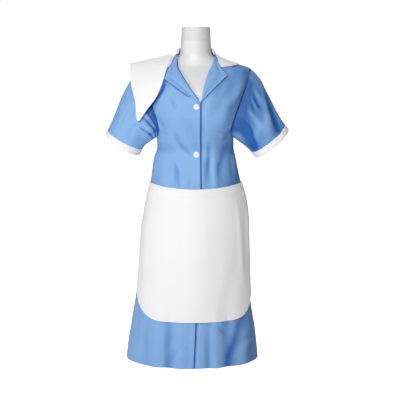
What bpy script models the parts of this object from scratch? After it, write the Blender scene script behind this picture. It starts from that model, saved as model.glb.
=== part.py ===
# Maid uniform: a short-sleeved shirt dress with a white collar, cuffs and buttons,
# a half apron and a folded headscarf, all on a plain dress form with a round base.
# +Z is up, -Y is the front and +X is the wearer's left. Every sheet is made from
# the points of one body surface, read by angle round the body and height.

import math

import bmesh
import bpy
import numpy as np
from mathutils import Vector
from mathutils.bvhtree import BVHTree

MM = 0.001
GAP = 0.3 * MM
SHELL = 1.5 * MM
THIN_SHELL = 1.2 * MM
BAND_SHELL = 2.2 * MM

FORM_BOTTOM = 520 * MM
FORM_TOP = 1169 * MM
CAP_FRONT_HEIGHT = 1123 * MM
CAP_BACK_HEIGHT = 1151 * MM
POLE_RADIUS = 12.5 * MM
BASE_RADIUS = 132 * MM
BASE_HEIGHT = 12 * MM

BUTTON_RADIUS = 9.8 * MM
BUTTON_TOP_HEIGHT = 902 * MM
BUTTON_SPACING = 164 * MM
BUTTON_COUNT = 5
# From the middle of the dish to the rim and back under: share of the radius, rise in millimetres.
BUTTON_PROFILE = (
    (0.0, 1.6),
    (0.57, 1.6),
    (0.69, 2.6),
    (0.88, 2.6),
    (1.0, 1.7),
    (1.0, 0.7),
    (0.88, 0.0),
    (0.0, 0.0),
)

NECK_HEIGHT = 1079 * MM
NECK_BACK_HEIGHT = 1082 * MM
APRON_LIFT = 2.6 * MM
APRON_EDGE_ANGLE = 96.0
APRON_TOP_HEIGHT = 620 * MM
APRON_BOTTOM_HEIGHT = 163 * MM
WAISTBAND_WIDTH = 28 * MM
COLLAR_LIFT = 3.4 * MM
SCARF_SHARES = 9
SCARF_ROWS = 24
TIE_WIDTH = 22 * MM

BLUE = (0.27, 0.47, 0.76, 1.0)
WHITE = (0.86, 0.87, 0.88, 1.0)
FORM_WHITE = (0.80, 0.80, 0.80, 1.0)
CAP_GREY = (0.66, 0.66, 0.67, 1.0)
STEEL = (0.55, 0.55, 0.56, 1.0)

# The dress's outer face, level by level, in millimetres.
SECTION_COLUMNS = ("height", "left", "right", "front", "back")
SECTIONS = (
    (0.0, -250.0, 221.5, 172.0, 165.0),
    (67.0, -242.0, 215.0, 163.0, 158.0),
    (117.0, -233.0, 209.0, 157.0, 152.0),
    (156.0, -227.0, 202.0, 152.0, 148.0),
    (218.0, -216.0, 193.5, 147.0, 144.0),
    (300.0, -205.0, 191.0, 141.0, 140.0),
    (390.0, -198.5, 188.0, 136.0, 138.0),
    (471.0, -193.0, 186.0, 131.0, 137.0),
    (515.0, -185.5, 184.0, 127.0, 134.0),
    (577.0, -174.0, 175.0, 118.0, 126.0),
    (636.0, -159.0, 156.0, 108.0, 111.0),
    (718.0, -147.0, 138.5, 98.0, 92.0),
    (758.0, -135.0, 131.0, 95.0, 87.0),
    (790.0, -138.0, 131.0, 101.0, 88.0),
    (810.0, -147.0, 140.0, 106.0, 90.0),
    (830.0, -155.0, 149.0, 111.0, 92.0),
    (865.0, -165.0, 160.0, 117.0, 98.0),
    (910.0, -178.0, 174.0, 113.0, 102.0),
    (950.0, -184.0, 182.0, 105.0, 101.0),
    (990.0, -188.0, 188.0, 91.0, 92.0),
    (1010.0, -190.5, 190.5, 81.0, 85.5),
    (1026.0, -189.0, 189.0, 70.0, 77.5),
    (1034.0, -173.0, 172.0, 65.0, 73.5),
    (1041.0, -151.0, 150.0, 61.0, 70.0),
    (1052.0, -114.0, 113.0, 57.0, 65.5),
    (1061.0, -92.0, 91.0, 55.0, 62.5),
    (1070.0, -75.0, 74.0, 54.0, 60.0),
    (1079.0, -65.0, 64.0, 54.0, 58.5),
    (1088.0, -61.0, 60.0, 54.5, 57.5),
    (1098.0, -59.0, 58.0, 55.0, 57.5),
    (1110.0, -57.5, 57.0, 55.5, 57.0),
    (1140.0, -55.0, 54.5, 55.5, 56.0),
    (1169.0, -53.5, 52.5, 55.0, 55.0),
)

# How far the form stays inside the dress's outer face, in millimetres.
CLEARANCE_COLUMNS = ("height", "clearance")
CLEARANCES = (
    (500.0, 14.0),
    (636.0, 12.0),
    (751.0, 8.0),
    (865.0, 7.5),
    (950.0, 7.0),
    (1010.0, 9.5),
    (1026.0, 12.0),
    (1041.0, 5.0),
    (1052.0, 3.9),
    (1066.0, 5.0),
    (1079.0, 8.5),
    (1098.0, 6.0),
    (1169.0, 5.0),
)

# The heights of the form's rings, in millimetres, top to bottom.
FORM_RINGS = (
    1169, 1150, 1130, 1112, 1098, 1088, 1079, 1070, 1061, 1052, 1041, 1034, 1026,
    1010, 990, 950, 910, 865, 820, 775, 735, 690, 636, 577, 535, 522,
)

# The largest folds, in millimetres seen from the front: side is -1 on the front
# and +1 on the back, and a fold runs from start to end with its width and rise.
FOLDS = (
    # side, start x, start z, end x, end z, width, rise
    (-1, -150.0, -260.0, -128.0, 250.0, 20.0, 6.0),
    (-1, -108.0, -260.0, -96.0, 230.0, 18.0, -5.0),
    (-1, -58.0, -240.0, -50.0, 210.0, 16.0, 4.5),
    (-1, 46.0, -240.0, 40.0, 200.0, 17.0, -4.0),
    (-1, 78.0, -260.0, 66.0, 240.0, 16.0, 5.0),
    (-1, 122.0, -280.0, 104.0, 270.0, 20.0, -6.0),
    (-1, 172.0, -260.0, 150.0, 260.0, 20.0, 5.0),
    (-1, 166.0, 1010.0, 66.0, 820.0, 17.0, 6.0),
    (-1, 136.0, 990.0, 98.0, 850.0, 15.0, -5.0),
    (-1, 44.0, 800.0, 50.0, 610.0, 10.0, -4.0),
    (-1, 62.0, 780.0, 70.0, 600.0, 11.0, 3.5),
    (-1, 112.0, 790.0, 60.0, 640.0, 13.0, -3.5),
    (-1, -112.0, 745.0, -106.0, 600.0, 10.0, 4.0),
    (-1, -76.0, 730.0, -72.0, 610.0, 9.0, -4.0),
    (-1, -62.0, 905.0, -14.0, 745.0, 12.0, 3.0),
    (-1, -142.0, 880.0, -96.0, 815.0, 11.0, -4.0),
    (-1, -96.0, 955.0, -60.0, 880.0, 12.0, -3.0),
    (1, -140.0, -280.0, -118.0, 330.0, 24.0, 7.0),
    (1, -72.0, -280.0, -60.0, 300.0, 20.0, -6.0),
    (1, 10.0, -280.0, 6.0, 280.0, 22.0, 5.0),
    (1, 84.0, -280.0, 70.0, 320.0, 20.0, -6.0),
    (1, 148.0, -280.0, 126.0, 300.0, 22.0, 6.0),
    (1, -96.0, 860.0, -50.0, 640.0, 13.0, -4.0),
    (1, 100.0, 870.0, 46.0, 650.0, 13.0, -4.0),
    (1, -40.0, 760.0, -34.0, 600.0, 11.0, 3.5),
    (1, 44.0, 780.0, 40.0, 620.0, 11.0, 3.5),
)

# The side edge of a front: up the side seam, then round the front of the armhole.
SIDE_COLUMNS = ("row", "angle", "height")
SIDE_EDGE = (
    (0.0, 90.0, 4.5),
    (0.40, 90.0, 600.0),
    (0.58, 90.0, 790.0),
    (0.605, 76.0, 793.5),
    (0.63, 67.0, 803.0),
    (0.66, 62.0, 819.0),
    (0.70, 60.5, 842.0),
    (0.74, 61.5, 868.0),
    (0.79, 64.0, 901.0),
    (0.84, 67.0, 935.0),
    (0.90, 71.0, 968.0),
    (0.96, 77.0, 1002.0),
    (1.0, 90.0, 1026.0),
)
ARMHOLE_START = 0.58

# The centre edges of the fronts: the lapped edge, then the roll line to the neck.
CENTRE_COLUMNS = ("row", "x", "height")
RIGHT_CENTRE_EDGE = (
    (0.0, -9.0, 4.5),
    (0.10, -1.7, 159.0),
    (0.28, 12.0, 420.0),
    (0.40, 15.0, 600.0),
    (0.58, 13.8, 790.0),
    (0.73, 14.0, 914.0),
    (0.80, -20.0, 967.5),
    (0.87, -53.0, 1018.0),
    (0.91, -61.0, 1040.0),
    (0.945, -63.0, 1058.0),
    (0.98, -65.0, 1073.0),
    (1.0, -80.0, 1079.0),
)
LEFT_CENTRE_EDGE = (
    (0.0, -32.0, 4.5),
    (0.10, -25.0, 159.0),
    (0.28, -17.0, 420.0),
    (0.40, -14.0, 600.0),
    (0.58, -15.0, 790.0),
    (0.705, -15.0, 890.0),
    (0.745, 17.0, 921.0),
    (0.80, 26.0, 966.0),
    (0.86, 46.0, 1025.0),
    (0.90, 56.0, 1043.0),
    (0.945, 61.0, 1060.0),
    (0.98, 64.5, 1073.0),
    (1.0, 80.0, 1079.0),
)
# The centre back seam, then the back of the neck round to the shoulder.
BACK_COLUMNS = ("row", "angle", "height")
BACK_CENTRE_EDGE = (
    (0.0, 180.0, 4.5),
    (0.40, 180.0, 600.0),
    (0.58, 180.0, 790.0),
    (0.84, 180.0, 1082.0),
    (0.90, 150.0, 1081.5),
    (0.95, 118.0, 1080.0),
    (1.0, 90.0, 1079.0),
)

# The lapels: the roll line and the outer edge, from the break to the collar.
LAPEL_COLUMNS = ("row", "roll_x", "roll_z", "outer_x", "outer_z")
RIGHT_LAPEL = (
    (0.0, 12.5, 918.5, 11.0, 915.5),
    (0.30, -16.0, 963.0, -39.0, 947.0),
    (0.60, -44.0, 1005.0, -106.0, 993.5),
    (0.80, -60.0, 1036.0, -91.0, 1031.0),
    (1.0, -62.0, 1067.5, -65.0, 1067.0),
)
LEFT_LAPEL = (
    (0.0, 18.5, 924.0, 19.5, 921.0),
    (0.30, 26.5, 966.0, 54.0, 957.0),
    (0.60, 42.0, 1015.0, 107.0, 1005.5),
    (0.80, 56.0, 1042.0, 82.5, 1030.0),
    (1.0, 61.5, 1067.5, 63.0, 1067.0),
)

# Right and left sleeves: hem corners in millimetres seen from the front, the
# hem's half depth, and how far its front hangs below its middle.
SLEEVES = {
    # side, outer x, outer z, inner x, inner z, half depth, tilt
    "right": (-1, -307.0, 816.0, -186.0, 750.0, 56.0, 9.0),
    "left": (1, 308.0, 836.0, 191.0, 740.0, 58.0, 13.0),
}
CUFF_DEPTH = 24 * MM
CUFF_OUTER_DEPTH = {"right": 15 * MM, "left": 21 * MM}
SLEEVE_SEAM = 1.6 * MM
SLEEVE_MIDDLE_Y = -5 * MM
# Folds of a sleeve: where round it (0 top, 0.25 front), where along it, widths, rise.
SLEEVE_FOLDS = {
    # around, along, width around, width along, rise
    "right": (
        (0.20, 0.30, 0.035, 0.35, -4.0),
        (0.36, 0.25, 0.03, 0.40, 4.0),
        (0.30, 0.70, 0.03, 0.35, 3.0),
        (0.62, 0.40, 0.05, 0.40, -4.0),
        (0.80, 0.45, 0.05, 0.40, 4.0),
    ),
    "left": (
        (0.14, 0.35, 0.035, 0.30, -5.0),
        (0.24, 0.45, 0.03, 0.40, 5.0),
        (0.33, 0.30, 0.03, 0.40, -5.0),
        (0.42, 0.60, 0.035, 0.35, 4.0),
        (0.60, 0.40, 0.05, 0.40, -4.0),
        (0.78, 0.45, 0.05, 0.40, 4.0),
    ),
}

# The collar from one front end round the back to the middle of the back: the fold
# line, and the outer edge of the fall, by angle and height.
COLLAR_COLUMNS = ("around", "fold_angle", "stand", "outer_angle", "outer_z")
COLLAR = (
    (0.0, 75.0, 5.0, 67.0, 1039.0),
    (0.10, 86.0, 11.0, 86.0, 1043.0),
    (0.22, 104.0, 15.0, 110.0, 1043.0),
    (0.36, 140.0, 17.0, 143.0, 1040.0),
    (0.50, 180.0, 17.5, 180.0, 1037.0),
)
# The collar's front edge, fold to notch to point, as fractions across the fall.
COLLAR_END_COLUMNS = ("across", "x", "z")
COLLAR_END = (
    (0.0, 70.5, 1076.5),
    (0.42, 88.0, 1031.5),
    (1.0, 144.5, 1039.0),
)
RIGHT_END_SHIFT = 7 * MM
# The profile of the stand and fold: across, rise above the neck seam as a fraction
# of the stand, and how far the outer face is from the body surface in millimetres.
COLLAR_FOLD_COLUMNS = ("across", "rise", "lift")
COLLAR_FOLD = (
    (0.0, 0.06, -2.9),
    (0.12, 0.62, -2.9),
    (0.20, 0.94, -2.5),
    (0.26, 1.10, -0.6),
    (0.32, 0.94, 1.6),
)

# The folded scarf, front half then back half: rows down from the shoulder fold.
SCARF_COLUMNS = ("row", "left_x", "left_y", "left_z", "right_x", "right_y", "right_z")
SCARF_FRONT = (
    (0.0, -226.0, -1.0, 1044.5, -84.0, -1.0, 1077.0),
    (0.06, -226.0, -13.0, 1039.0, -84.0, -18.0, 1072.0),
    (0.16, -226.0, -28.0, 1020.0, -87.0, -46.0, 1053.0),
    (0.30, -224.0, -45.0, 988.0, -95.0, -68.0, 1024.0),
    (0.45, -216.0, -62.0, 953.0, -110.0, -84.0, 984.0),
    (0.65, -206.0, -77.0, 910.0, -134.0, -88.0, 934.0),
    (0.85, -204.0, -84.0, 873.0, -167.0, -86.0, 890.0),
    (1.0, -200.0, -84.0, 852.0, -192.0, -85.0, 854.0),
)
SCARF_BACK = (
    (0.0, -226.0, -1.0, 1044.5, -84.0, -1.0, 1077.0),
    (0.06, -226.0, 13.0, 1038.0, -84.0, 20.0, 1072.0),
    (0.16, -225.0, 30.0, 1020.0, -86.0, 50.0, 1054.0),
    (0.30, -221.0, 50.0, 990.0, -92.0, 78.0, 1028.0),
    (0.45, -213.0, 70.0, 960.0, -104.0, 96.0, 992.0),
    (0.65, -202.0, 88.0, 926.0, -124.0, 108.0, 950.0),
    (0.85, -190.0, 98.0, 896.0, -150.0, 112.0, 910.0),
    (1.0, -181.0, 100.0, 877.0, -172.0, 112.0, 880.0),
)

outer_faces = {}


def clear_scene():
    for old in list(bpy.data.objects):
        bpy.data.objects.remove(old)


def make_collection(name):
    collection = bpy.data.collections.new(name)
    bpy.context.scene.collection.children.link(collection)
    return collection


def make_material(name, color, roughness, metallic):
    material = bpy.data.materials.new(name)
    material.use_nodes = True
    surface = material.node_tree.nodes["Principled BSDF"]
    surface.inputs["Base Color"].default_value = color
    surface.inputs["Roughness"].default_value = roughness
    surface.inputs["Metallic"].default_value = metallic
    material.diffuse_color = color
    return material


def column(columns, rows, name):
    place = columns.index(name)
    return np.array([row[place] for row in rows], dtype=float)


def smooth_curve(knots, values, at):
    """A curve through the values that never overshoots between two of them."""
    step = np.diff(knots)
    slope = np.diff(values) / step
    tangent = np.empty(len(knots))
    tangent[0] = slope[0]
    tangent[-1] = slope[-1]
    for i in range(1, len(knots) - 1):
        if slope[i - 1] * slope[i] <= 0.0:
            tangent[i] = 0.0
        else:
            before = 2.0 * step[i] + step[i - 1]
            after = step[i] + 2.0 * step[i - 1]
            tangent[i] = (before + after) / (before / slope[i - 1] + after / slope[i])
    span = np.clip(np.searchsorted(knots, at, side="right") - 1, 0, len(knots) - 2)
    t = np.clip((at - knots[span]) / step[span], 0.0, 1.0)
    return (
        values[span] * (1.0 + 2.0 * t) * (1.0 - t) ** 2
        + values[span + 1] * t * t * (3.0 - 2.0 * t)
        + step[span] * (tangent[span] * t * (1.0 - t) ** 2 - tangent[span + 1] * t * t * (1.0 - t))
    )


def read_table(columns, rows, name, at):
    knots = column(columns, rows, columns[0])
    return smooth_curve(knots, column(columns, rows, name), np.asarray(at, dtype=float))


def ramp(value, low, high):
    t = np.clip((value - low) / (high - low), 0.0, 1.0)
    return t * t * (3.0 - 2.0 * t)


def section(name, height):
    return read_table(SECTION_COLUMNS, SECTIONS, name, height / MM) * MM


def folds(x, y, height):
    """How far the folds lift the cloth at points of the body."""
    total = np.zeros_like(x)
    for side, start_x, start_z, end_x, end_z, width, rise in FOLDS:
        run = np.array([end_x - start_x, end_z - start_z]) * MM
        along_x = x - start_x * MM
        along_z = height - start_z * MM
        t = (along_x * run[0] + along_z * run[1]) / (run @ run)
        away = (along_x * run[1] - along_z * run[0]) / math.sqrt(run @ run)
        fade = np.sin(np.pi * np.clip(t, 0.0, 1.0))
        facing = ramp(y * side, 0.0, 40 * MM)
        total += rise * MM * fade * facing * np.exp(-((away / (width * MM)) ** 2))
    return total


def bare_body(angle, height):
    left = section("left", height)
    right = section("right", height)
    sine = np.sin(angle)
    cosine = np.cos(angle)
    depth = np.where(cosine > 0.0, section("front", height), section("back", height))
    x = (left + right) / 2.0 + (right - left) / 2.0 * sine
    y = -depth * cosine
    bust = np.zeros_like(x)
    for side in (-1, 1):
        across = (x - side * 76 * MM) / (52 * MM)
        up = (height - 868 * MM) / (58 * MM)
        bust += 9 * MM * np.exp(-across ** 2 - up ** 2)
    bust *= ramp(cosine, 0.0, 0.4)
    lift = bust + folds(x, y, height)
    return np.stack([x + lift * sine, y - lift * cosine, height + 0.0 * x], axis=-1)


def body(angle, height, lift=0.0):
    """Points on the body surface, moved out along its normal by lift."""
    angle = np.asarray(angle, dtype=float)
    height = np.asarray(height, dtype=float)
    small = 0.5 * MM
    points = bare_body(angle, height)
    around = bare_body(angle + 0.004, height) - bare_body(angle - 0.004, height)
    up = bare_body(angle, height + small) - bare_body(angle, height - small)
    normal = np.cross(around, up)
    normal /= np.maximum(np.linalg.norm(normal, axis=-1, keepdims=True), 1e-12)
    return points + normal * np.broadcast_to(lift, angle.shape)[..., None]


def angle_at(x, height, back=False):
    """The angle round the body of a front or back point with this x."""
    left = section("left", height)
    right = section("right", height)
    sine = np.clip((x - (left + right) / 2.0) / ((right - left) / 2.0), -1.0, 1.0)
    front_angle = np.arcsin(sine)
    return np.where(back, np.pi - front_angle, front_angle)


def grid_mesh(name, surface, columns, rows, closed_around=False):
    """A grid primitive whose points are moved onto surface(u, v)."""
    builder = bmesh.new()
    bmesh.ops.create_grid(builder, x_segments=columns, y_segments=rows, size=1.0)
    u = np.array([(vertex.co.x + 1.0) / 2.0 for vertex in builder.verts])
    v = np.array([(vertex.co.y + 1.0) / 2.0 for vertex in builder.verts])
    for vertex, point in zip(builder.verts, surface(u, v)):
        vertex.co = Vector(point)
    if closed_around:
        bmesh.ops.remove_doubles(builder, verts=builder.verts, dist=0.01 * MM)
    builder.verts.index_update()
    mesh = bpy.data.meshes.new(name)
    builder.to_mesh(mesh)
    outer_faces[name] = BVHTree.FromBMesh(builder)
    builder.free()
    mesh.shade_smooth()
    return mesh


def add_object(name, mesh, material, collection):
    piece = bpy.data.objects.new(name, mesh)
    mesh.materials.append(material)
    collection.objects.link(piece)
    return piece


def add_sheet(name, surface, columns, rows, thickness, material, collection, closed_around=False):
    """Cloth: a grid on its outer face, thickened inwards by a Solidify modifier."""
    mesh = grid_mesh(name, surface, columns, rows, closed_around)
    piece = add_object(name, mesh, material, collection)
    solidify = piece.modifiers.new("Cloth thickness", "SOLIDIFY")
    solidify.thickness = thickness
    solidify.offset = -1.0
    solidify.use_rim = True
    return piece


def side_edge(row):
    angle = np.radians(read_table(SIDE_COLUMNS, SIDE_EDGE, "angle", row))
    height = read_table(SIDE_COLUMNS, SIDE_EDGE, "height", row) * MM
    return angle, height


def seam_angle(height):
    """Half of a seam's gap, as an angle: wider on the shoulder, where it turns."""
    half_gap = between(1.2 * GAP, 2.6 * GAP, ramp(height, 950 * MM, 1010 * MM))
    return half_gap / section("front", height)


def centre_edge(row, rows_table):
    height = read_table(CENTRE_COLUMNS, rows_table, "height", row) * MM
    x = read_table(CENTRE_COLUMNS, rows_table, "x", row) * MM
    return angle_at(x, height), height


def between(first, second, share):
    return first + (second - first) * share


def front_right_surface(u, v):
    centre_angle, centre_height = centre_edge(v, RIGHT_CENTRE_EDGE)
    edge_angle, edge_height = side_edge(v)
    centre_angle = np.maximum(centre_angle, -np.pi / 2.0 + seam_angle(centre_height))
    edge_angle = seam_angle(edge_height) - edge_angle
    height = between(edge_height, centre_height, u)
    return body(between(edge_angle, centre_angle, u), height)


def front_left_surface(u, v):
    centre_angle, centre_height = centre_edge(v, LEFT_CENTRE_EDGE)
    edge_angle, edge_height = side_edge(v)
    centre_angle = np.minimum(centre_angle, np.pi / 2.0 - seam_angle(centre_height))
    edge_angle = edge_angle - seam_angle(edge_height)
    height = between(centre_height, edge_height, u)
    angle = between(centre_angle, edge_angle, u)
    lapped_x = read_table(CENTRE_COLUMNS, RIGHT_CENTRE_EDGE, "x", np.minimum(v, 0.73)) * MM
    past_lap = bare_body(angle, height)[:, 0] - lapped_x
    under = 1.0 - ramp(past_lap, 3 * MM, 26 * MM)
    under *= 1.0 - ramp(height, 925 * MM, 950 * MM)
    return body(angle, height, -(SHELL + 4.0 * GAP) * under)


def back_surface(side):
    def surface(u, v):
        centre_angle = np.radians(read_table(BACK_COLUMNS, BACK_CENTRE_EDGE, "angle", v))
        centre_height = read_table(BACK_COLUMNS, BACK_CENTRE_EDGE, "height", v) * MM
        edge_angle, edge_height = side_edge(v)
        edge_angle = np.pi - edge_angle + seam_angle(edge_height)
        centre_angle = np.maximum(centre_angle, np.pi / 2.0 + seam_angle(centre_height))
        centre_angle = np.minimum(centre_angle, np.pi - seam_angle(centre_height))
        share = u if side > 0 else 1.0 - u
        angle = between(edge_angle, centre_angle, share)
        height = between(edge_height, centre_height, share)
        return body(angle * side, height)

    return surface


def armhole(around, side):
    """Points round an armhole: 0 is the shoulder, a quarter the front, a half below."""
    front = around <= 0.5
    share = np.where(front, 1.0 - 2.0 * around, 2.0 * around - 1.0)
    angle, height = side_edge(ARMHOLE_START + (1.0 - ARMHOLE_START) * share)
    angle = np.where(front, angle, np.pi - angle)
    return body(angle * side, height)


def sleeve_frame(name):
    side, outer_x, outer_z, inner_x, inner_z, half_depth, tilt = SLEEVES[name]
    outer = np.array([outer_x, 0.0, outer_z]) * MM
    inner = np.array([inner_x, 0.0, inner_z]) * MM
    half_width = np.linalg.norm(inner - outer) / 2.0
    inwards = (inner - outer) / (2.0 * half_width)
    down = np.array([-inwards[2] * side, 0.0, inwards[0] * side])
    middle = (outer + inner) / 2.0 + np.array([0.0, SLEEVE_MIDDLE_Y, 0.0])
    return side, middle, inwards, down, half_width, half_depth * MM, tilt * MM


def sleeve_hem(around, name):
    side, middle, inwards, down, half_width, half_depth, tilt = sleeve_frame(name)
    turn = 2.0 * np.pi * around[:, None]
    depthwise = np.array([0.0, -1.0, 0.0])
    round_hem = -inwards * half_width * np.cos(turn) + depthwise * half_depth * np.sin(turn)
    return middle + round_hem + down * tilt * np.sin(turn)


def turn_of(u, side):
    """Goes round front first on the left sleeve and back first on the right one."""
    return u if side > 0 else 1.0 - u


def sleeve_surface(name):
    def surface(u, v):
        side, middle, inwards, down, half_width, half_depth, tilt = sleeve_frame(name)
        around = turn_of(u, side)
        turn = 2.0 * np.pi * around[:, None]
        start = armhole(around, side)
        end = sleeve_hem(around, name)
        top = (1.0 + np.cos(turn)) / 2.0
        leave = top * np.array([0.80 * side, 0.0, -0.60])
        leave = leave + (1.0 - top) * np.array([0.75 * side, 0.0, -0.66])
        leave = leave + np.sin(turn) * np.array([0.0, -0.42, 0.0])
        leave /= np.linalg.norm(leave, axis=1, keepdims=True)
        start = start + leave * SLEEVE_SEAM * (0.55 + 0.45 * np.cos(turn) ** 2)
        length = np.linalg.norm(end - start, axis=1, keepdims=True)
        t = v[:, None]
        points = (
            start * (1.0 + 2.0 * t) * (1.0 - t) ** 2
            + end * t * t * (3.0 - 2.0 * t)
            + leave * length * t * (1.0 - t) ** 2
            - down * length * t * t * (1.0 - t)
        )
        outwards = points - (between(middle, start.mean(axis=0), 1.0 - t))
        outwards -= (outwards @ down)[:, None] * down
        outwards /= np.linalg.norm(outwards, axis=1, keepdims=True)
        rise = np.zeros_like(u)
        for place, along, width, length_along, height in SLEEVE_FOLDS[name]:
            off = np.abs(around - place)
            off = np.minimum(off, 1.0 - off)
            fade = np.sin(np.pi * np.clip((v - along) / (2.0 * length_along) + 0.5, 0.0, 1.0))
            rise += height * MM * fade * np.exp(-((off / width) ** 2))
        rise *= np.sin(np.pi * np.clip(v, 0.0, 1.0)) ** 0.5
        return points + outwards * rise[:, None]

    return surface


def cuff_surface(name):
    def surface(u, v):
        side, middle, inwards, down, half_width, half_depth, tilt = sleeve_frame(name)
        around = turn_of(u, side)
        hem = sleeve_hem(around, name)
        outwards = hem - middle
        outwards -= (outwards @ down)[:, None] * down
        outwards /= np.linalg.norm(outwards, axis=1, keepdims=True)
        at_outer = np.clip(np.cos(2.0 * np.pi * around), 0.0, 1.0) ** 2
        depth = between(CUFF_DEPTH, CUFF_OUTER_DEPTH[name], at_outer)
        return hem + down * (1.3 * GAP + depth * v)[:, None] + outwards * 0.5 * MM

    return surface


def collar_surface(u, v):
    """The stand inside, the fold, and the fall lying on the shoulders."""
    nearest = np.minimum(v, 1.0 - v)
    side = np.where(v <= 0.5, 1.0, -1.0)
    fold_angle = np.radians(read_table(COLLAR_COLUMNS, COLLAR, "fold_angle", nearest))
    stand = read_table(COLLAR_COLUMNS, COLLAR, "stand", nearest) * MM
    outer_angle = np.radians(read_table(COLLAR_COLUMNS, COLLAR, "outer_angle", nearest))
    outer_height = read_table(COLLAR_COLUMNS, COLLAR, "outer_z", nearest) * MM
    seam_height = between(1073.5 * MM, NECK_HEIGHT, ramp(fold_angle, 1.13, 1.57))
    seam_height = between(seam_height, NECK_BACK_HEIGHT, ramp(fold_angle, 1.57, 3.0)) + 1.0 * MM
    fold_end = column(COLLAR_FOLD_COLUMNS, COLLAR_FOLD, "across")[-1]
    share = np.clip((u - fold_end) / (1.0 - fold_end), 0.0, 1.0)
    rise = read_table(COLLAR_FOLD_COLUMNS, COLLAR_FOLD, "rise", np.minimum(u, fold_end))
    lift = read_table(COLLAR_FOLD_COLUMNS, COLLAR_FOLD, "lift", np.minimum(u, fold_end)) * MM
    fold_lift_end = COLLAR_FOLD[-1][2] * MM
    fold_height = seam_height + stand * rise
    angle = between(fold_angle, outer_angle, share)
    height = between(fold_height, outer_height, share)
    end_height = read_table(COLLAR_END_COLUMNS, COLLAR_END, "z", share) * MM
    end_x = read_table(COLLAR_END_COLUMNS, COLLAR_END, "x", share) * MM
    notch = np.sin(np.pi * np.clip(share * 1.2, 0.0, 1.0))
    end_angle = angle_at(end_x + np.where(side < 0.0, RIGHT_END_SHIFT, 0.0) * notch, end_height)
    near_end = (1.0 - ramp(nearest, 0.0, 0.12)) * ramp(share, 0.0, 0.15)
    first_angle = between(np.radians(COLLAR[0][1]), np.radians(COLLAR[0][3]), share)
    first_height = between(COLLAR_END[0][2] * MM, COLLAR[0][4] * MM, share)
    angle = angle + near_end * (end_angle - first_angle)
    height = height + near_end * (end_height - first_height)
    settle = ramp(share, 0.0, 0.5)
    on_fall = between(fold_lift_end, COLLAR_LIFT, settle) + 1.2 * MM * np.sin(np.pi * settle)
    return body(angle * side, height, np.where(share > 0.0, on_fall, lift))


def lapel_surface(rows_table, side):
    def surface(u, v):
        roll_height = read_table(LAPEL_COLUMNS, rows_table, "roll_z", v) * MM
        roll_angle = angle_at(read_table(LAPEL_COLUMNS, rows_table, "roll_x", v) * MM, roll_height)
        knots = column(LAPEL_COLUMNS, rows_table, "row")
        outer_height = np.interp(v, knots, column(LAPEL_COLUMNS, rows_table, "outer_z")) * MM
        outer_x = np.interp(v, knots, column(LAPEL_COLUMNS, rows_table, "outer_x")) * MM
        outer_angle = angle_at(outer_x, outer_height)
        share = u if side > 0 else 1.0 - u
        angle = between(roll_angle, outer_angle, share)
        height = between(roll_height, outer_height, share)
        roll = np.sin(np.pi * np.clip(share * 1.6, 0.0, 1.0)) * np.sin(np.pi * v) ** 0.5
        return body(angle, height, THIN_SHELL + 3.5 * GAP + 2.2 * MM * roll)

    return surface


def apron_lift(angle, height):
    across = bare_body(angle, height)[:, 0]
    over_buttons = 2.9 * MM * np.exp(-((across / (42 * MM)) ** 4))
    hanging = 2.6 * MM * (1.0 - ramp(height, APRON_BOTTOM_HEIGHT, 320 * MM))
    return APRON_LIFT + over_buttons + hanging


def waistband_top(angle):
    return APRON_TOP_HEIGHT + 14 * MM * np.sin(angle) ** 2


def apron_bottom(angle):
    corner = np.clip((np.degrees(np.abs(angle)) - 36.0) / 60.0, 0.0, 1.0)
    return APRON_BOTTOM_HEIGHT + 118 * MM * corner ** 2.1


def apron_surface(u, v):
    angle = np.radians(APRON_EDGE_ANGLE) * (2.0 * u - 1.0)
    top = waistband_top(angle) - WAISTBAND_WIDTH - GAP
    height = between(apron_bottom(angle), top, v)
    return body(angle, height, apron_lift(angle, height))


def waistband_surface(u, v):
    angle = np.radians(APRON_EDGE_ANGLE) * (2.0 * u - 1.0)
    height = waistband_top(angle) - WAISTBAND_WIDTH * (1.0 - v)
    return body(angle, height, apron_lift(angle, height) + 1.0 * MM)


def tie_surface(side):
    def surface(u, v):
        start = np.radians(APRON_EDGE_ANGLE) + 0.004
        share = u if side > 0 else 1.0 - u
        angle = between(start, np.radians(175.0), share) * side
        middle = waistband_top(angle) - WAISTBAND_WIDTH / 2.0
        height = middle + TIE_WIDTH * (v - 0.5) * (1.0 - 0.35 * share)
        return body(angle, height, APRON_LIFT + 0.2 * MM)

    return surface


def bow_middle():
    height = waistband_top(np.pi) - WAISTBAND_WIDTH / 2.0
    return body(np.array([np.pi]), np.array([height]), 8.0 * MM)[0]


def bow_loop_surface(side):
    """A flattened loop of tape from the knot out to one side and back."""
    reach = 62 * MM

    def surface(u, v):
        turn = 2.0 * np.pi * (u if side < 0 else 1.0 - u)
        out = (1.0 - np.cos(turn)) / 2.0
        x = side * (10.6 * MM + reach * out)
        y = 5.5 * MM * np.sin(turn) * np.sin(np.pi * np.clip(out, 0.0, 1.0)) ** 0.3
        droop = -14 * MM * out ** 1.5
        width = (15 + 15 * out) * MM
        middle = bow_middle()
        places = [middle[0] + x, middle[1] + y + 0.4 * MM, middle[2] + droop + width * (v - 0.5)]
        return np.stack(places, axis=-1)

    return surface


def tail_surface(side):
    """A tie's free end, hanging down the back of the skirt."""

    def surface(u, v):
        middle = bow_middle()
        drop = 1.0 - v
        height = middle[2] - 13.8 * MM - 235 * MM * drop
        x = middle[0] + side * (9 * MM + 34 * MM * drop + 5 * MM * np.sin(5.0 * drop))
        x = x - (u - 0.5) * (13 + 9 * drop) * MM
        angle = angle_at(x, height, back=True)
        return body(angle, height, 5.5 * MM + 2.5 * MM * np.sin(4.0 * np.pi * drop) * drop)

    return surface


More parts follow.
